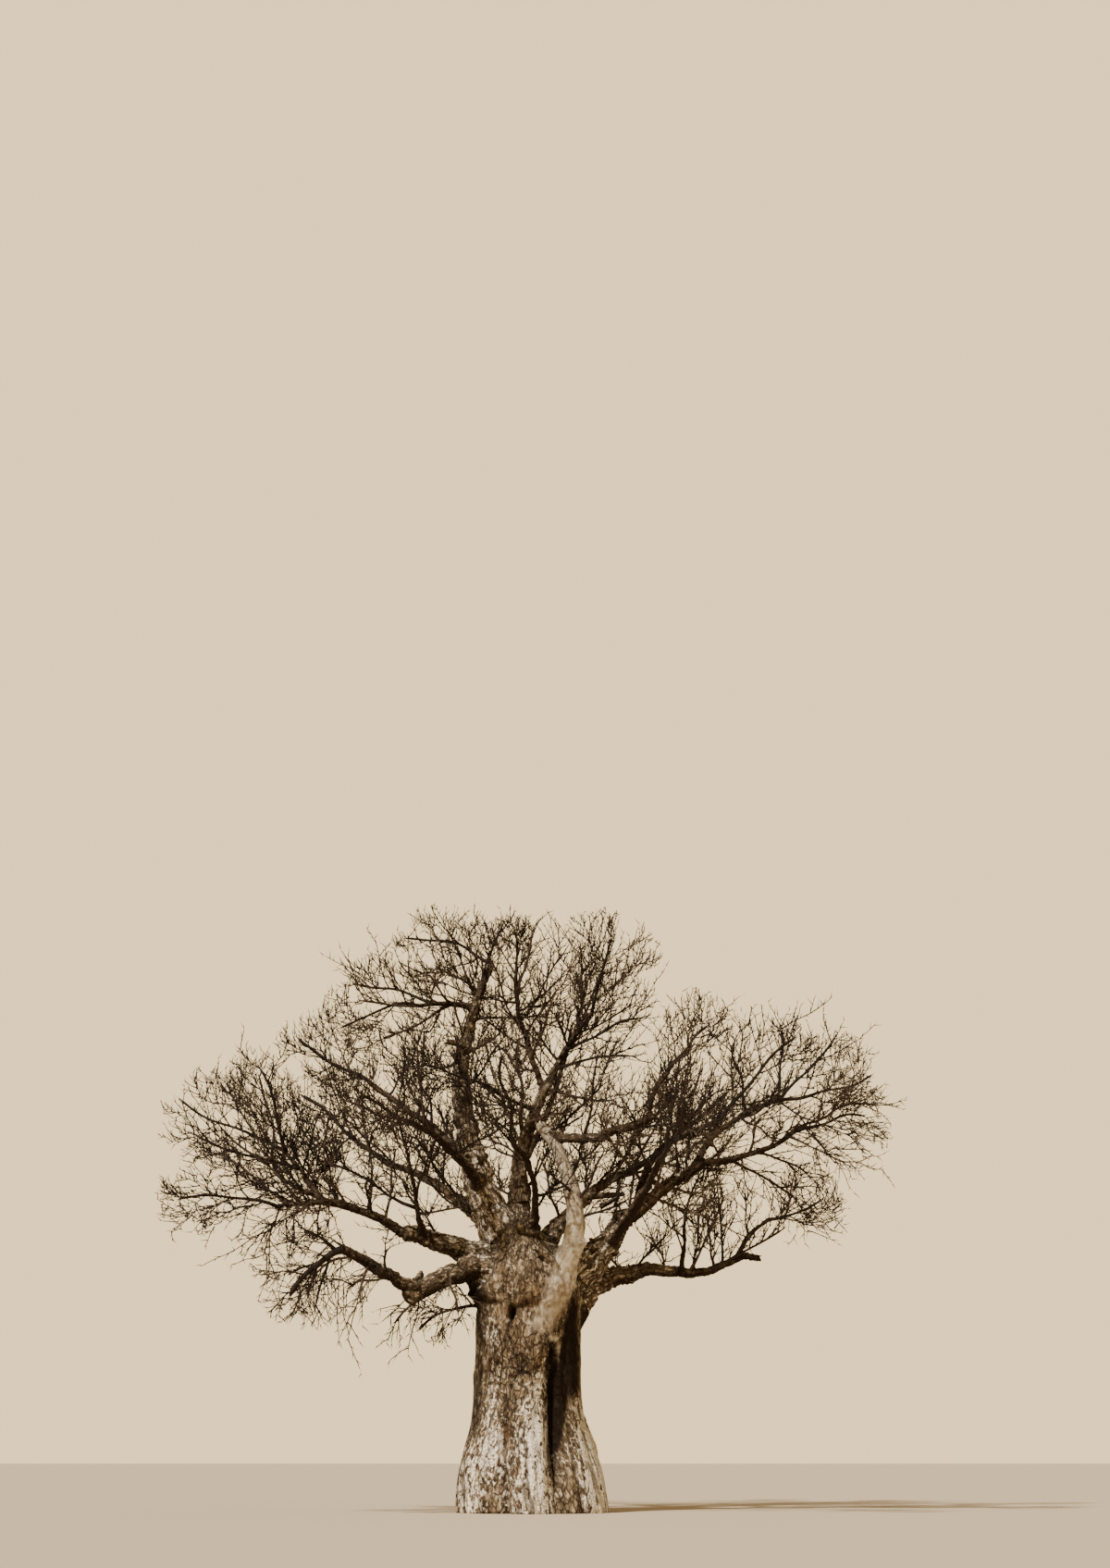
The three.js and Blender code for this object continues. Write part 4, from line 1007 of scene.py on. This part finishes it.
# The two levels that the solid model has too: how many on a bearer, the shares of it that they leave
# between, their length as a share of it, and the angle that they leave at in radians
SOURCE_LEVELS = [
    {"count": 8, "first": 0.14, "last": 0.95, "length": 0.64, "leave": 0.85},
    {"count": 4, "first": 0.3, "last": 0.95, "length": 0.6, "leave": 0.8},
]
PLACE_SPREAD = 0.6
LENGTH_SPREAD = 0.5
LEAVE_SPREAD = 0.35
TURN_SPREAD = 1.2
LIFT_SPREAD = 0.6
TWIG_SWAY = 0.3
TWIG_WANDER = 0.032
UNDERSIDE = -0.2
LEAST_TAPER = 0.6
TWIG_THINNING = 0.62
LENGTH_TRIES = (1, 0.72, 0.5)
LONGEST_SHARE = 0.8
TWIG_MARGIN = 0.012
NEAR_MARGIN = 0.1
LIMB_PARTS = 4
STEM_PARTS = 3
TRUNK_PARTS = 11
UP = np.array([0, 0, 1.0])
SEED = 1863
SEED_STEP = 7919
SPRAYS = 1000
SPRAY_BITS = np.uint32(7)
MIXERS = (0x9E3779B1, 0x85EBCA6B, 0xC2B2AE35)
DRAW = {
    "lift": 0, "sway": 1, "place": 2, "turn": 3, "leave": 4, "length": 5, "stem_turn": 6,
    "bend": 7, "kink": 8, "way": 9, "raise": 10, "child": 100, "long_shoot": 500,
}
# The middle of the crown, which the finest twigs lean away from
CROWN_HEART = np.array([-0.2, 0, 0.47 * HEIGHT])
# Finer twigs: how many to the metre and at most, the shares of the bearer that they leave between,
# their shortest and longest, the angle that they leave at, the least and most radius of the root, how
# many of those on the underside turn up, and how far they lean outward
BRANCHLETS = {
    "per_metre": 3.5, "most": 10, "first": 0.12, "last": 0.97, "length": (0.4, 1.15),
    "leave": 0.85, "least": 0.0225, "stoutest": 0.034, "raised": 0.3, "outward": 0.15,
}
SPURS = {
    "per_metre": 4.6, "most": 7, "first": 0.14, "last": 0.98, "length": (0.12, 0.32),
    "leave": 0.9, "least": 0.017, "stoutest": 0.022, "raised": 0.3, "outward": 0.15,
}
# The numbers that the draws of each finer level start from
FIRST_BRANCHLET = 20
FIRST_SPUR = 40
# How many sides and stretches each kind is drawn with
STEM_FORM = (8, 12)
FAN_FORM = (6, 8)
SHOOT_FORM = (5, 7)
BRANCHLET_FORM = (3, 4)
SPUR_FORM = (3, 2)


def mixed(seed, draw):
    """Whole random numbers that depend only on a twig's own seed."""
    step = np.uint32((draw + 1) * MIXERS[0] % 2**32)
    bits = (seed ^ step) * np.uint32(MIXERS[1])
    bits = (bits ^ bits >> np.uint32(13)) * np.uint32(MIXERS[2])
    return bits ^ bits >> np.uint32(16)


def chance(seed, draw):
    return mixed(seed, draw) / 2**32


def unit(ways):
    return ways / np.maximum(np.linalg.norm(ways, axis=-1, keepdims=True), 1e-9)


def stretch_gaps(start, end, radius, others):
    """Least gap from each straight stretch to any stretch of the others, less both thicknesses."""
    d1 = (end - start)[:, None]
    d2 = (others["end"] - others["start"])[None]
    r = start[:, None] - others["start"][None]
    a = (d1**2).sum(-1)
    e = (d2**2).sum(-1)
    b = (d1 * d2).sum(-1)
    c = (d1 * r).sum(-1)
    f = (d2 * r).sum(-1)
    spread = a * e - b * b
    s = np.clip(np.where(spread > 1e-9, (b * f - c * e) / np.maximum(spread, 1e-9), 0), 0, 1)
    t = np.clip((b * s + f) / e, 0, 1)
    s = np.clip((b * t - c) / a, 0, 1)
    apart = np.linalg.norm(r + d1 * s[..., None] - d2 * t[..., None], axis=-1)
    return (apart - others["radius"][None] - radius[:, None]).min(axis=1)


def limb_stretches(limb, parts):
    shares = np.linspace(0, 1, parts + 1)
    ends = line_point(limb["line"], even_share(limb["line"], shares))
    radii = limb_radius(limb, shares)
    return ends[:-1], ends[1:], np.maximum(radii[:-1], radii[1:])


def one_twig(line, length, seed, root, tip, sway):
    """A group that holds a single twig."""
    return {
        "line": line[None],
        "length": np.array([length]),
        "seed": seed,
        "turn": 2 * np.pi * chance(seed, DRAW["stem_turn"]),
        "root": np.array([root]),
        "tip": np.array([tip]),
        "shift": np.zeros((1, 3)),
        "sway": np.array([sway]),
        "spray": np.zeros(1, int),
    }


masses = []
for index, (name, bearer, at, tip, bow, heart, room, lift) in enumerate(MASSES):
    parent = limbs.get(bearer)
    if parent:
        start, seam = leaves_from(parent, at)
        start = start + SEAM_GAP * seam
    else:
        start = trunk_middle(np.array(at * TRUNK_TOP))
        start = start + TRUNK_SPRAY_CLEAR * (crown_point(tip) - start)
    line, length = limb_line(start, crown_point(tip), bow)
    root = parent["tip"] if parent else TRUNK_SPRAY_RADIUS
    seed = np.array([SEED + SEED_STEP * index], np.uint32)
    masses.append({
        "name": name,
        "stem": one_twig(line, length, seed, root, STEM_END_SHARE * root, TWIG_WANDER * length),
        "heart": line_point(line, heart),
        "room": room,
        "lift": lift,
    })
for mass in masses:
    mass["neighbours"] = [
        other for other in masses
        if other is not mass
        and np.linalg.norm(other["heart"] - mass["heart"]) < other["room"] + mass["room"]
    ]
gathered = [limb_stretches(limb, LIMB_PARTS) for limb in limbs.values()]
owners = [name for name in limbs for _ in range(LIMB_PARTS)]
for mass in masses:
    plain = {key: mass["stem"][key][0] for key in ("line", "length", "root", "tip")}
    plain = {**plain, "taper": BOUGH_TAPER, "hidden": 0, "collar": 0}
    gathered.append(limb_stretches(plain, STEM_PARTS))
    owners += [mass["name"]] * STEM_PARTS
heights = np.linspace(0, TRUNK_TOP, TRUNK_PARTS + 1)
ends = trunk_middle(heights)
swollen = trunk_radius(heights) * (1 + COLUMN_BULGE)
gathered.append((ends[:-1], ends[1:], np.maximum(swollen[:-1], swollen[1:])))
owners = np.array(owners + ["trunk"] * TRUNK_PARTS)
obstacles = dict(zip(("start", "end", "radius"), (np.concatenate(column) for column in zip(*gathered))))


def near_obstacles(mass):
    """The limbs that reach into a mass's ball, its own stem left out."""
    middle = (obstacles["start"] + obstacles["end"]) / 2
    half = np.linalg.norm(obstacles["end"] - obstacles["start"], axis=1) / 2
    reach = np.linalg.norm(middle - mass["heart"], axis=1) - half - obstacles["radius"]
    kept = (reach < mass["room"] + NEAR_MARGIN) & (owners != mass["name"])
    return {key: value[kept] for key, value in obstacles.items()}


def keeps_to_its_space(mass, points, margin):
    own = np.linalg.norm(points - mass["heart"], axis=-1)
    kept = (own <= mass["room"] - margin) & (np.abs(points[..., 0]) <= HALF_SPREAD)
    kept &= (np.abs(points[..., 1]) <= HALF_DEPTH) & (points[..., 2] <= HEIGHT)
    for other in mass["neighbours"]:
        apart = np.linalg.norm(other["heart"] - mass["heart"])
        theirs = ((points - other["heart"]) ** 2).sum(axis=-1) - other["room"] ** 2
        kept &= theirs - (own**2 - mass["room"] ** 2) > 2 * apart * margin
    return kept


def twig_wobble(twigs, share):
    """A twig's small bends off its plain curve, none at its root."""
    t = np.asarray(share)[..., None]
    along = unit(twigs["line"][:, 2] - twigs["line"][:, 0])
    side = unit(np.cross(along, [0.12, 0.2, 1]))
    over = np.cross(side, along)
    bend = (2 * chance(twigs["seed"], DRAW["bend"]) - 1)[:, None]
    kink = (2 * chance(twigs["seed"], DRAW["kink"]) - 1)[:, None]
    way = (2 * np.pi * chance(twigs["seed"], DRAW["way"]))[:, None]
    across = np.cos(way) * side + np.sin(way) * over
    beside = np.cos(way + 2) * side + np.sin(way + 2) * over
    off = bend * np.sin(2 * np.pi * t) * across + kink * np.sin(3.4 * np.pi * t) * beside
    return twigs["sway"][:, None] * off


def twig_radius(twigs, share):
    return twigs["tip"] + (twigs["root"] - twigs["tip"]) * (1 - share) ** BOUGH_TAPER


def fits(mass, line, radius, near):
    points = [line[:, 0], line_point(line, np.full(len(line), 0.5)), line[:, 2]]
    margin = radius + TWIG_MARGIN
    kept = np.ones(len(line), bool)
    for point in points:
        kept &= keeps_to_its_space(mass, point, margin)
    if len(near["radius"]) == 0:
        return kept
    for first, second in ((points[0], points[1]), (points[1], points[2])):
        tried = np.nonzero(kept)[0]
        gaps = stretch_gaps(first[tried], second[tried], radius[tried], near)
        kept[tried] &= gaps >= TWIG_MARGIN
    return kept


def picked(twigs, kept):
    return {key: value[kept] for key, value in twigs.items()}


def joined(groups):
    return {key: np.concatenate([group[key] for group in groups]) for key in groups[0]}


def along_parent(rule, number, count, seed):
    """How far along its parent each twig leaves, when this many are spread along it."""
    place = (number + PLACE_SPREAD * chance(seed, DRAW["place"])) / (count - 1 + PLACE_SPREAD)
    return rule["first"] + (rule["last"] - rule["first"]) * place


def grown(parents, seed, number, share, full, rule, mass, near, lift):
    """One twig from each parent, at a share of it; those with no room are dropped."""
    line = parents["line"]
    start = line_point(line, share)
    along = line_tangent(line, share)
    side = unit(np.cross(along, UP))
    over = np.cross(side, along)
    turn = parents["turn"] + number * GOLDEN_TURN + TURN_SPREAD * (chance(seed, DRAW["turn"]) - 0.5)
    under = (np.sin(turn) < UNDERSIDE) & (chance(seed, DRAW["raise"]) < rule.get("raised", 0))
    turn = np.where(under, -turn, turn)
    angle = rule["leave"] + LEAVE_SPREAD * (2 * chance(seed, DRAW["leave"]) - 1)
    way = np.cos(angle)[:, None] * along + (np.sin(angle) * np.cos(turn))[:, None] * side
    way = way + (np.sin(angle) * np.sin(turn))[:, None] * over
    if "outward" in rule:
        way = unit(way + rule["outward"] * unit(start - CROWN_HEART))
    root = TWIG_THINNING * twig_radius(parents, share)
    if "least" in rule:
        root = np.clip(root, rule["least"], rule["stoutest"])
    bend = lift * (1 + LIFT_SPREAD * (2 * chance(seed, DRAW["lift"]) - 1))[:, None] * UP
    bend = bend + (TWIG_SWAY * (2 * chance(seed, DRAW["sway"]) - 1))[:, None] * np.cross(way, UP)
    made = {
        "line": np.zeros((len(seed), 3, 3)),
        "length": np.zeros(len(seed)),
        "seed": seed,
        "turn": turn,
        "root": root,
        "tip": np.zeros(len(seed)),
        "shift": parents["shift"] + twig_wobble(parents, share),
        "sway": np.zeros(len(seed)),
        "spray": parents["spray"],
    }
    fitted = np.zeros(len(seed), bool)
    for part in LENGTH_TRIES:
        left = np.nonzero(~fitted)[0]
        if len(left) == 0:
            break
        size = (part * full[left])[:, None]
        halfway = start[left] + 0.5 * size * way[left]
        end = start[left] + size * (way[left] + bend[left])
        tried = np.stack([start[left], halfway, end], axis=1)
        good = fits(mass, tried, root[left], near)
        taken = left[good]
        made["line"][taken] = tried[good]
        made["length"][taken] = size[good, 0]
        made["sway"][taken] = TWIG_WANDER * size[good, 0]
        fitted[taken] = True
    return picked(made, fitted)


def source_level(parents, rule, mass, near):
    """The twigs that the solid model has too, by its rule."""
    groups = []
    for number in range(rule["count"]):
        seed = mixed(parents["seed"], DRAW["child"] + number)
        share = along_parent(rule, number, rule["count"], seed)
        full = parents["length"] * rule["length"] * (1 + LENGTH_SPREAD * (chance(seed, DRAW["length"]) - 0.5))
        groups.append(grown(parents, seed, number, share, full, rule, mass, near, mass["lift"]))
    return joined(groups)


def finer_level(parents, rule, mass, near, first_number, lift):
    """Twigs too fine for the solid model, as many to the metre on each parent as the rule says."""
    groups = [picked(parents, np.zeros(len(parents["length"]), bool))]
    wanted = np.clip(np.rint(parents["length"] * rule["per_metre"]), 1, rule["most"])
    low, high = rule["length"]
    for step in range(rule["most"]):
        more = wanted > step
        if not more.any():
            break
        bearing = picked(parents, more)
        seed = mixed(bearing["seed"], DRAW["child"] + first_number + step)
        share = along_parent(rule, step, wanted[more], seed)
        full = low + (high - low) * chance(seed, DRAW["length"])
        full = np.minimum(full, LONGEST_SHARE * bearing["length"])
        groups.append(grown(bearing, seed, first_number + step, share, full, rule, mass, near, lift))
    return joined(groups)


def tube_places(twigs, stretches):
    """Ring middles and radii along each twig."""
    middles = []
    radii = []
    for part in range(stretches + 1):
        share = np.full(len(twigs["length"]), part / stretches)
        middles.append(line_point(twigs["line"], share) + twigs["shift"] + twig_wobble(twigs, share))
        radii.append(twig_radius(twigs, share))
    return np.stack(middles, axis=1), np.stack(radii, axis=1)


def tubes(twigs, sides, stretches):
    """Arrays of closed, pointed tubes: places, the corners of quads and of triangles, and sprays."""
    middles, radii = tube_places(twigs, stretches)
    radii = np.maximum(radii, LEAST_TAPER * twigs["root"][:, None])
    count = len(middles)
    along = unit(np.gradient(middles, axis=1))
    side = unit(np.cross(along, np.array([0.31, 0.17, 1.0])))
    over = np.cross(side, along)
    angle = 2 * np.pi * np.arange(sides) / sides
    ring = np.cos(angle)[:, None] * side[:, :-1, None, :] + np.sin(angle)[:, None] * over[:, :-1, None, :]
    ring = middles[:, :-1, None, :] + radii[:, :-1, None, None] * ring
    places = np.concatenate([ring.reshape(count, stretches * sides, 3), middles[:, -1:]], axis=1)
    each = stretches * sides + 1
    corner = np.arange(sides)
    following = (corner + 1) % sides
    quads = []
    for row in range(stretches - 1):
        low = row * sides
        corners = [low + following, low + corner, low + sides + corner, low + sides + following]
        quads.append(np.stack(corners, axis=1))
    last = (stretches - 1) * sides
    points = np.stack([last + following, last + corner, np.full(sides, each - 1)], axis=1)
    caps = np.stack([np.zeros(sides - 2, int), corner[1:-1], corner[2:]], axis=1)
    first = each * np.arange(count)[:, None, None]
    quads = (np.concatenate(quads)[None] + first).reshape(-1, 4)
    triangles = (np.concatenate([points, caps])[None] + first).reshape(-1, 3)
    quad_spray = np.repeat(twigs["spray"], (stretches - 1) * sides)
    triangle_spray = np.repeat(twigs["spray"], 2 * sides - 2)
    return places.reshape(-1, 3), quads, triangles, quad_spray, triangle_spray


def joined_mesh(name, parts, tones):
    """One mesh of many tubes, with a colour for each spray."""
    starts = np.cumsum([0] + [len(part[0]) for part in parts])
    places = np.concatenate([part[0] for part in parts])
    quads = np.concatenate([part[1] + start for part, start in zip(parts, starts)])
    triangles = np.concatenate([part[2] + start for part, start in zip(parts, starts)])
    sprays = np.concatenate([part[3] for part in parts] + [part[4] for part in parts])
    mesh = bpy.data.meshes.new(name)
    mesh.vertices.add(len(places))
    mesh.vertices.foreach_set("co", places.ravel())
    mesh.loops.add(4 * len(quads) + 3 * len(triangles))
    mesh.loops.foreach_set("vertex_index", np.concatenate([quads.ravel(), triangles.ravel()]))
    mesh.polygons.add(len(quads) + len(triangles))
    starts = np.concatenate([4 * np.arange(len(quads)), 4 * len(quads) + 3 * np.arange(len(triangles))])
    mesh.polygons.foreach_set("loop_start", starts)
    for tone in tones:
        mesh.materials.append(tone)
    mesh.polygons.foreach_set("material_index", sprays % len(tones))
    mesh.update(calc_edges=True)
    mesh.polygons.foreach_set("use_smooth", np.ones(len(mesh.polygons), bool))
    return mesh


def spray_numbers(twigs):
    """A number for each twig, which all that grows on it takes over, for their colour."""
    return (twigs["seed"] >> SPRAY_BITS).astype(int) % SPRAYS


TWIG_TONES = {
    "dark_twig": (0.012, 0.007, 0.004),
    "brown_twig": (0.022, 0.013, 0.008),
    "tan_twig": (0.045, 0.029, 0.018),
}
LIGHTER = 1.7
twig_tones = []
for name, colour in TWIG_TONES.items():
    material = bpy.data.materials.new(name)
    material.use_nodes = True
    tree = material.node_tree
    fibres = fibre_node(added_node(tree, "TexCoord", {}).outputs["Object"], 9)
    lighter = tuple(LIGHTER * channel for channel in colour)
    tone = tint_node(range_node(fibres["Mottle"], 0.35, 0.7), colour, lighter)
    finish_bark(tone, range_node(fibres["Mottle"], 0.3, 0.7, 0.75, 0.95), 0.25, fibres["Streaks"], 0.6, 0.006)
    twig_tones.append(material)

for mass in masses:
    near = near_obstacles(mass)
    stem = mass["stem"]
    fans = source_level(stem, SOURCE_LEVELS[0], mass, near)
    fans["spray"] = spray_numbers(fans)
    shoots = source_level(fans, SOURCE_LEVELS[1], mass, near)
    bearers = joined([fans, shoots])
    branchlets = finer_level(bearers, BRANCHLETS, mass, near, FIRST_BRANCHLET, mass["lift"])
    bearers = joined([stem, fans, shoots, branchlets])
    spurs = finer_level(bearers, SPURS, mass, near, FIRST_SPUR, mass["lift"])
    parts = [tubes(stem, *STEM_FORM), tubes(fans, *FAN_FORM), tubes(shoots, *SHOOT_FORM)]
    parts += [tubes(branchlets, *BRANCHLET_FORM), tubes(spurs, *SPUR_FORM)]
    mesh = joined_mesh(mass["name"] + "_fine", parts, twig_tones)
    piece = bpy.data.objects.new("fine_" + mass["name"], mesh)
    bpy.context.scene.collection.objects.link(piece)
    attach(piece, "root")
    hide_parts(mass["name"])

# Shoots along the boughs
# Every bough that isn't too stout bears shoots of its own between the trunk and its tip. They stand
# up or out from it, fork into fans and branchlets, and carry the same short spurs.
BARE_RADIUS = 0.3
BARE_RUN = 0.5
SHOOT_LIFT = 0.14
# Shoots and the fans on them, in the same terms as the finer twigs
SHOOTS = {
    "per_metre": 1.9, "most": 22, "first": 0.0, "last": 0.97, "length": (1.0, 2.9),
    "leave": 1.0, "least": 0.036, "stoutest": 0.06, "raised": 0.5,
}
FANS = {
    "per_metre": 2.1, "most": 6, "first": 0.2, "last": 0.95, "length": (0.6, 1.6),
    "leave": 0.8, "least": 0.028, "stoutest": 0.042, "raised": 0.3, "outward": 0.12,
}
BRANCHLETS_ON_SHOOTS = {**BRANCHLETS, "per_metre": 2.8}
# The numbers that the draws of each finer level start from, and how the fans here are drawn
FIRST_FAN_ON_SHOOT = 30
FIRST_BRANCHLET_ON_SHOOT = 40
FIRST_SPUR_ON_SHOOT = 60
LIGHT_FAN_FORM = (4, 6)
FIRST_BOUGH_SEED = 100
RUN_PARTS = 60
ROOM_PAST_BOUGH = 4
# How many times the usual number of shoots some boughs bear
CROWDED = {
    "low_right_forearm": 1.7, "low_right_riser": 1.7, "right_reach": 1.6, "right_fork_low": 1.8,
    "mid_left_reach": 1.4, "mid_left_arm": 2.2, "mid_left_riser": 2.4, "back_left_riser": 1.8,
    "top_left_arm": 2.5, "left_leader": 1.3, "upper_left_bough": 0.9, "low_left_forearm": 1.4,
    "centre_left_leader": 1.6, "centre_right_leader": 1.9, "low_right_bough": 1.3,
    "right_fork_high": 1.1, "front_stem": 0.4, "front_left_bough": 0.45, "front_right_bough": 0.5,
    "right_riser": 0.6, "shelf_bough": 0.4, "middle_stem": 0.5, "centre_arm": 0.5, "back_bough": 0.5,
    "back_left_bough": 0.5, "back_right_bough": 0.8, "back_high_bough": 0.7,
}
# Boughs whose shoots all stand on the upper side
BARE_BELOW = ("low_right_bough", "low_right_forearm", "low_right_spur")
# Single long shoots: the bough, how far along it, the tip in percent as for a bough, and the bow
LONG_SHOOTS = [
    ("mid_left_reach", 0.45, (-45.5, -14, 68), (3, 0, 0)),
    ("mid_left_stem", 0.6, (-58, -21, 55), (0, 0, 5)),
    ("mid_left_stem", 0.8, (-25, -16, 60), (-3, 0, 0)),
    ("left_leader", 0.93, (-9, -4, 97), (-6, 0, 0)),
    ("left_leader", 0.72, (-24, -14, 71), (0, 0, -6)),
    ("left_leader", 0.9, (-28, -4, 90), (0, 0, 4)),
    ("top_left_arm", 0.75, (-50, -8, 86), (0, 0, 5)),
    ("top_left_arm", 0.4, (-41, -16, 76), (0, 0, -5)),
    ("mid_left_riser", 0.9, (-74, -12, 72), (4, 0, 0)),
    ("mid_left_riser", 0.6, (-90, -22, 60), (0, 0, -4)),
    ("mid_left_arm", 0.8, (-82, -24, 56), (0, 0, 3)),
    ("centre_left_leader", 0.9, (-1, 2, 97), (3, 0, 0)),
    ("centre_right_leader", 0.12, (27, -8, 73.5), (0, 0, 6)),
    ("centre_right_leader", 0.4, (29, -10, 80), (0, 0, 4)),
    ("middle_stem", 0.93, (21, -8, 66), (0, 0, -4)),
    ("right_fork_high", 0.95, (84, 20, 80), (3, 0, 0)),
    ("right_fork_low", 0.9, (88, -8, 66), (0, 0, 4)),
    ("low_left_bough", 0.96, (-52, -30, 42), (0, 0, 4)),
    ("right_fork_high", 0.93, (69, 20, 82), (3, 0, 0)),
    ("right_fork_high", 0.7, (55, 10, 79), (-3, 0, 0)),
    ("mid_left_arm", 0.6, (-84, -14, 62), (0, 0, 3)),
    ("top_left_arm", 0.95, (-47, -20, 82), (0, 0, -3)),
    ("back_right_bough", 0.7, (42, 44, 72), (-3, 0, 0)),
    ("back_right_bough", 0.97, (50, 80, 81), (5, 0, 4)),
    ("back_right_bough", 0.9, (63, 74, 71), (0, 4, -5)),
    ("back_right_bough", 0.84, (41, 78, 74), (-4, 0, 5)),
    ("back_bough", 0.7, (-14, 60, 80), (0, 0, 0)),
]
LONG_SHOOT_RADIUS = 0.065
# Boughs whose shoots hang instead of rising, and how far
HANGING = {
    "low_left_forearm": -0.35, "low_left_bough": -0.3, "mid_left_arm": -0.1, "right_fork_low": -0.12,
}
for index, (name, limb) in enumerate(limbs.items()):
    shares = np.linspace(0, 1, RUN_PARTS)
    open_run = shares * limb["length"] > limb["hidden"] + BARE_RUN
    open_run &= limb_radius(limb, shares) < BARE_RADIUS
    if not open_run.any():
        continue
    first = shares[open_run][0]
    line = limb["line"]
    seed = np.array([SEED + SEED_STEP * (index + FIRST_BOUGH_SEED)], np.uint32)
    bearer = one_twig(line, limb["length"], seed, limb["root"], limb["tip"], 0.0)
    lift = HANGING.get(name, SHOOT_LIFT)
    raised = {} if lift > 0 else {"raised": 0}
    if name in BARE_BELOW:
        raised = {"raised": 1}
    space = {
        "name": name,
        "heart": line_point(line, 0.5),
        "room": limb["length"] / 2 + ROOM_PAST_BOUGH,
        "neighbours": [],
    }
    near = near_obstacles(space)
    per_metre = SHOOTS["per_metre"] * (1 - first) * CROWDED.get(name, 1)
    rule = {**SHOOTS, **raised, "first": first, "per_metre": per_metre}
    groups = [finer_level(bearer, rule, space, near, 0, lift)]
    for number, (bearing_limb, at, tip, bow) in enumerate(LONG_SHOOTS):
        if bearing_limb == name:
            start, _ = leaves_from(limb, at)
            shoot_line, length = limb_line(start, crown_point(tip), bow)
            shoot_seed = mixed(seed, DRAW["long_shoot"] + number)
            sway = TWIG_WANDER * length
            groups.append(one_twig(shoot_line, length, shoot_seed, LONG_SHOOT_RADIUS, 0.0, sway))
    shoots = joined(groups)
    if len(shoots["length"]) == 0:
        continue
    shoots["spray"] = spray_numbers(shoots)
    fans = finer_level(shoots, {**FANS, **raised}, space, near, FIRST_FAN_ON_SHOOT, lift)
    bearers = joined([shoots, fans])
    rule = {**BRANCHLETS_ON_SHOOTS, **raised}
    branchlets = finer_level(bearers, rule, space, near, FIRST_BRANCHLET_ON_SHOOT, lift)
    bearers = joined([shoots, fans, branchlets])
    spurs = finer_level(bearers, SPURS, space, near, FIRST_SPUR_ON_SHOOT, lift)
    parts = [tubes(shoots, *FAN_FORM), tubes(fans, *LIGHT_FAN_FORM)]
    parts += [tubes(branchlets, *BRANCHLET_FORM), tubes(spurs, *SPUR_FORM)]
    mesh = joined_mesh("shoots_on_" + name, parts, twig_tones)
    piece = bpy.data.objects.new("shoots_on_" + name, mesh)
    bpy.context.scene.collection.objects.link(piece)
    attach(piece, "root")
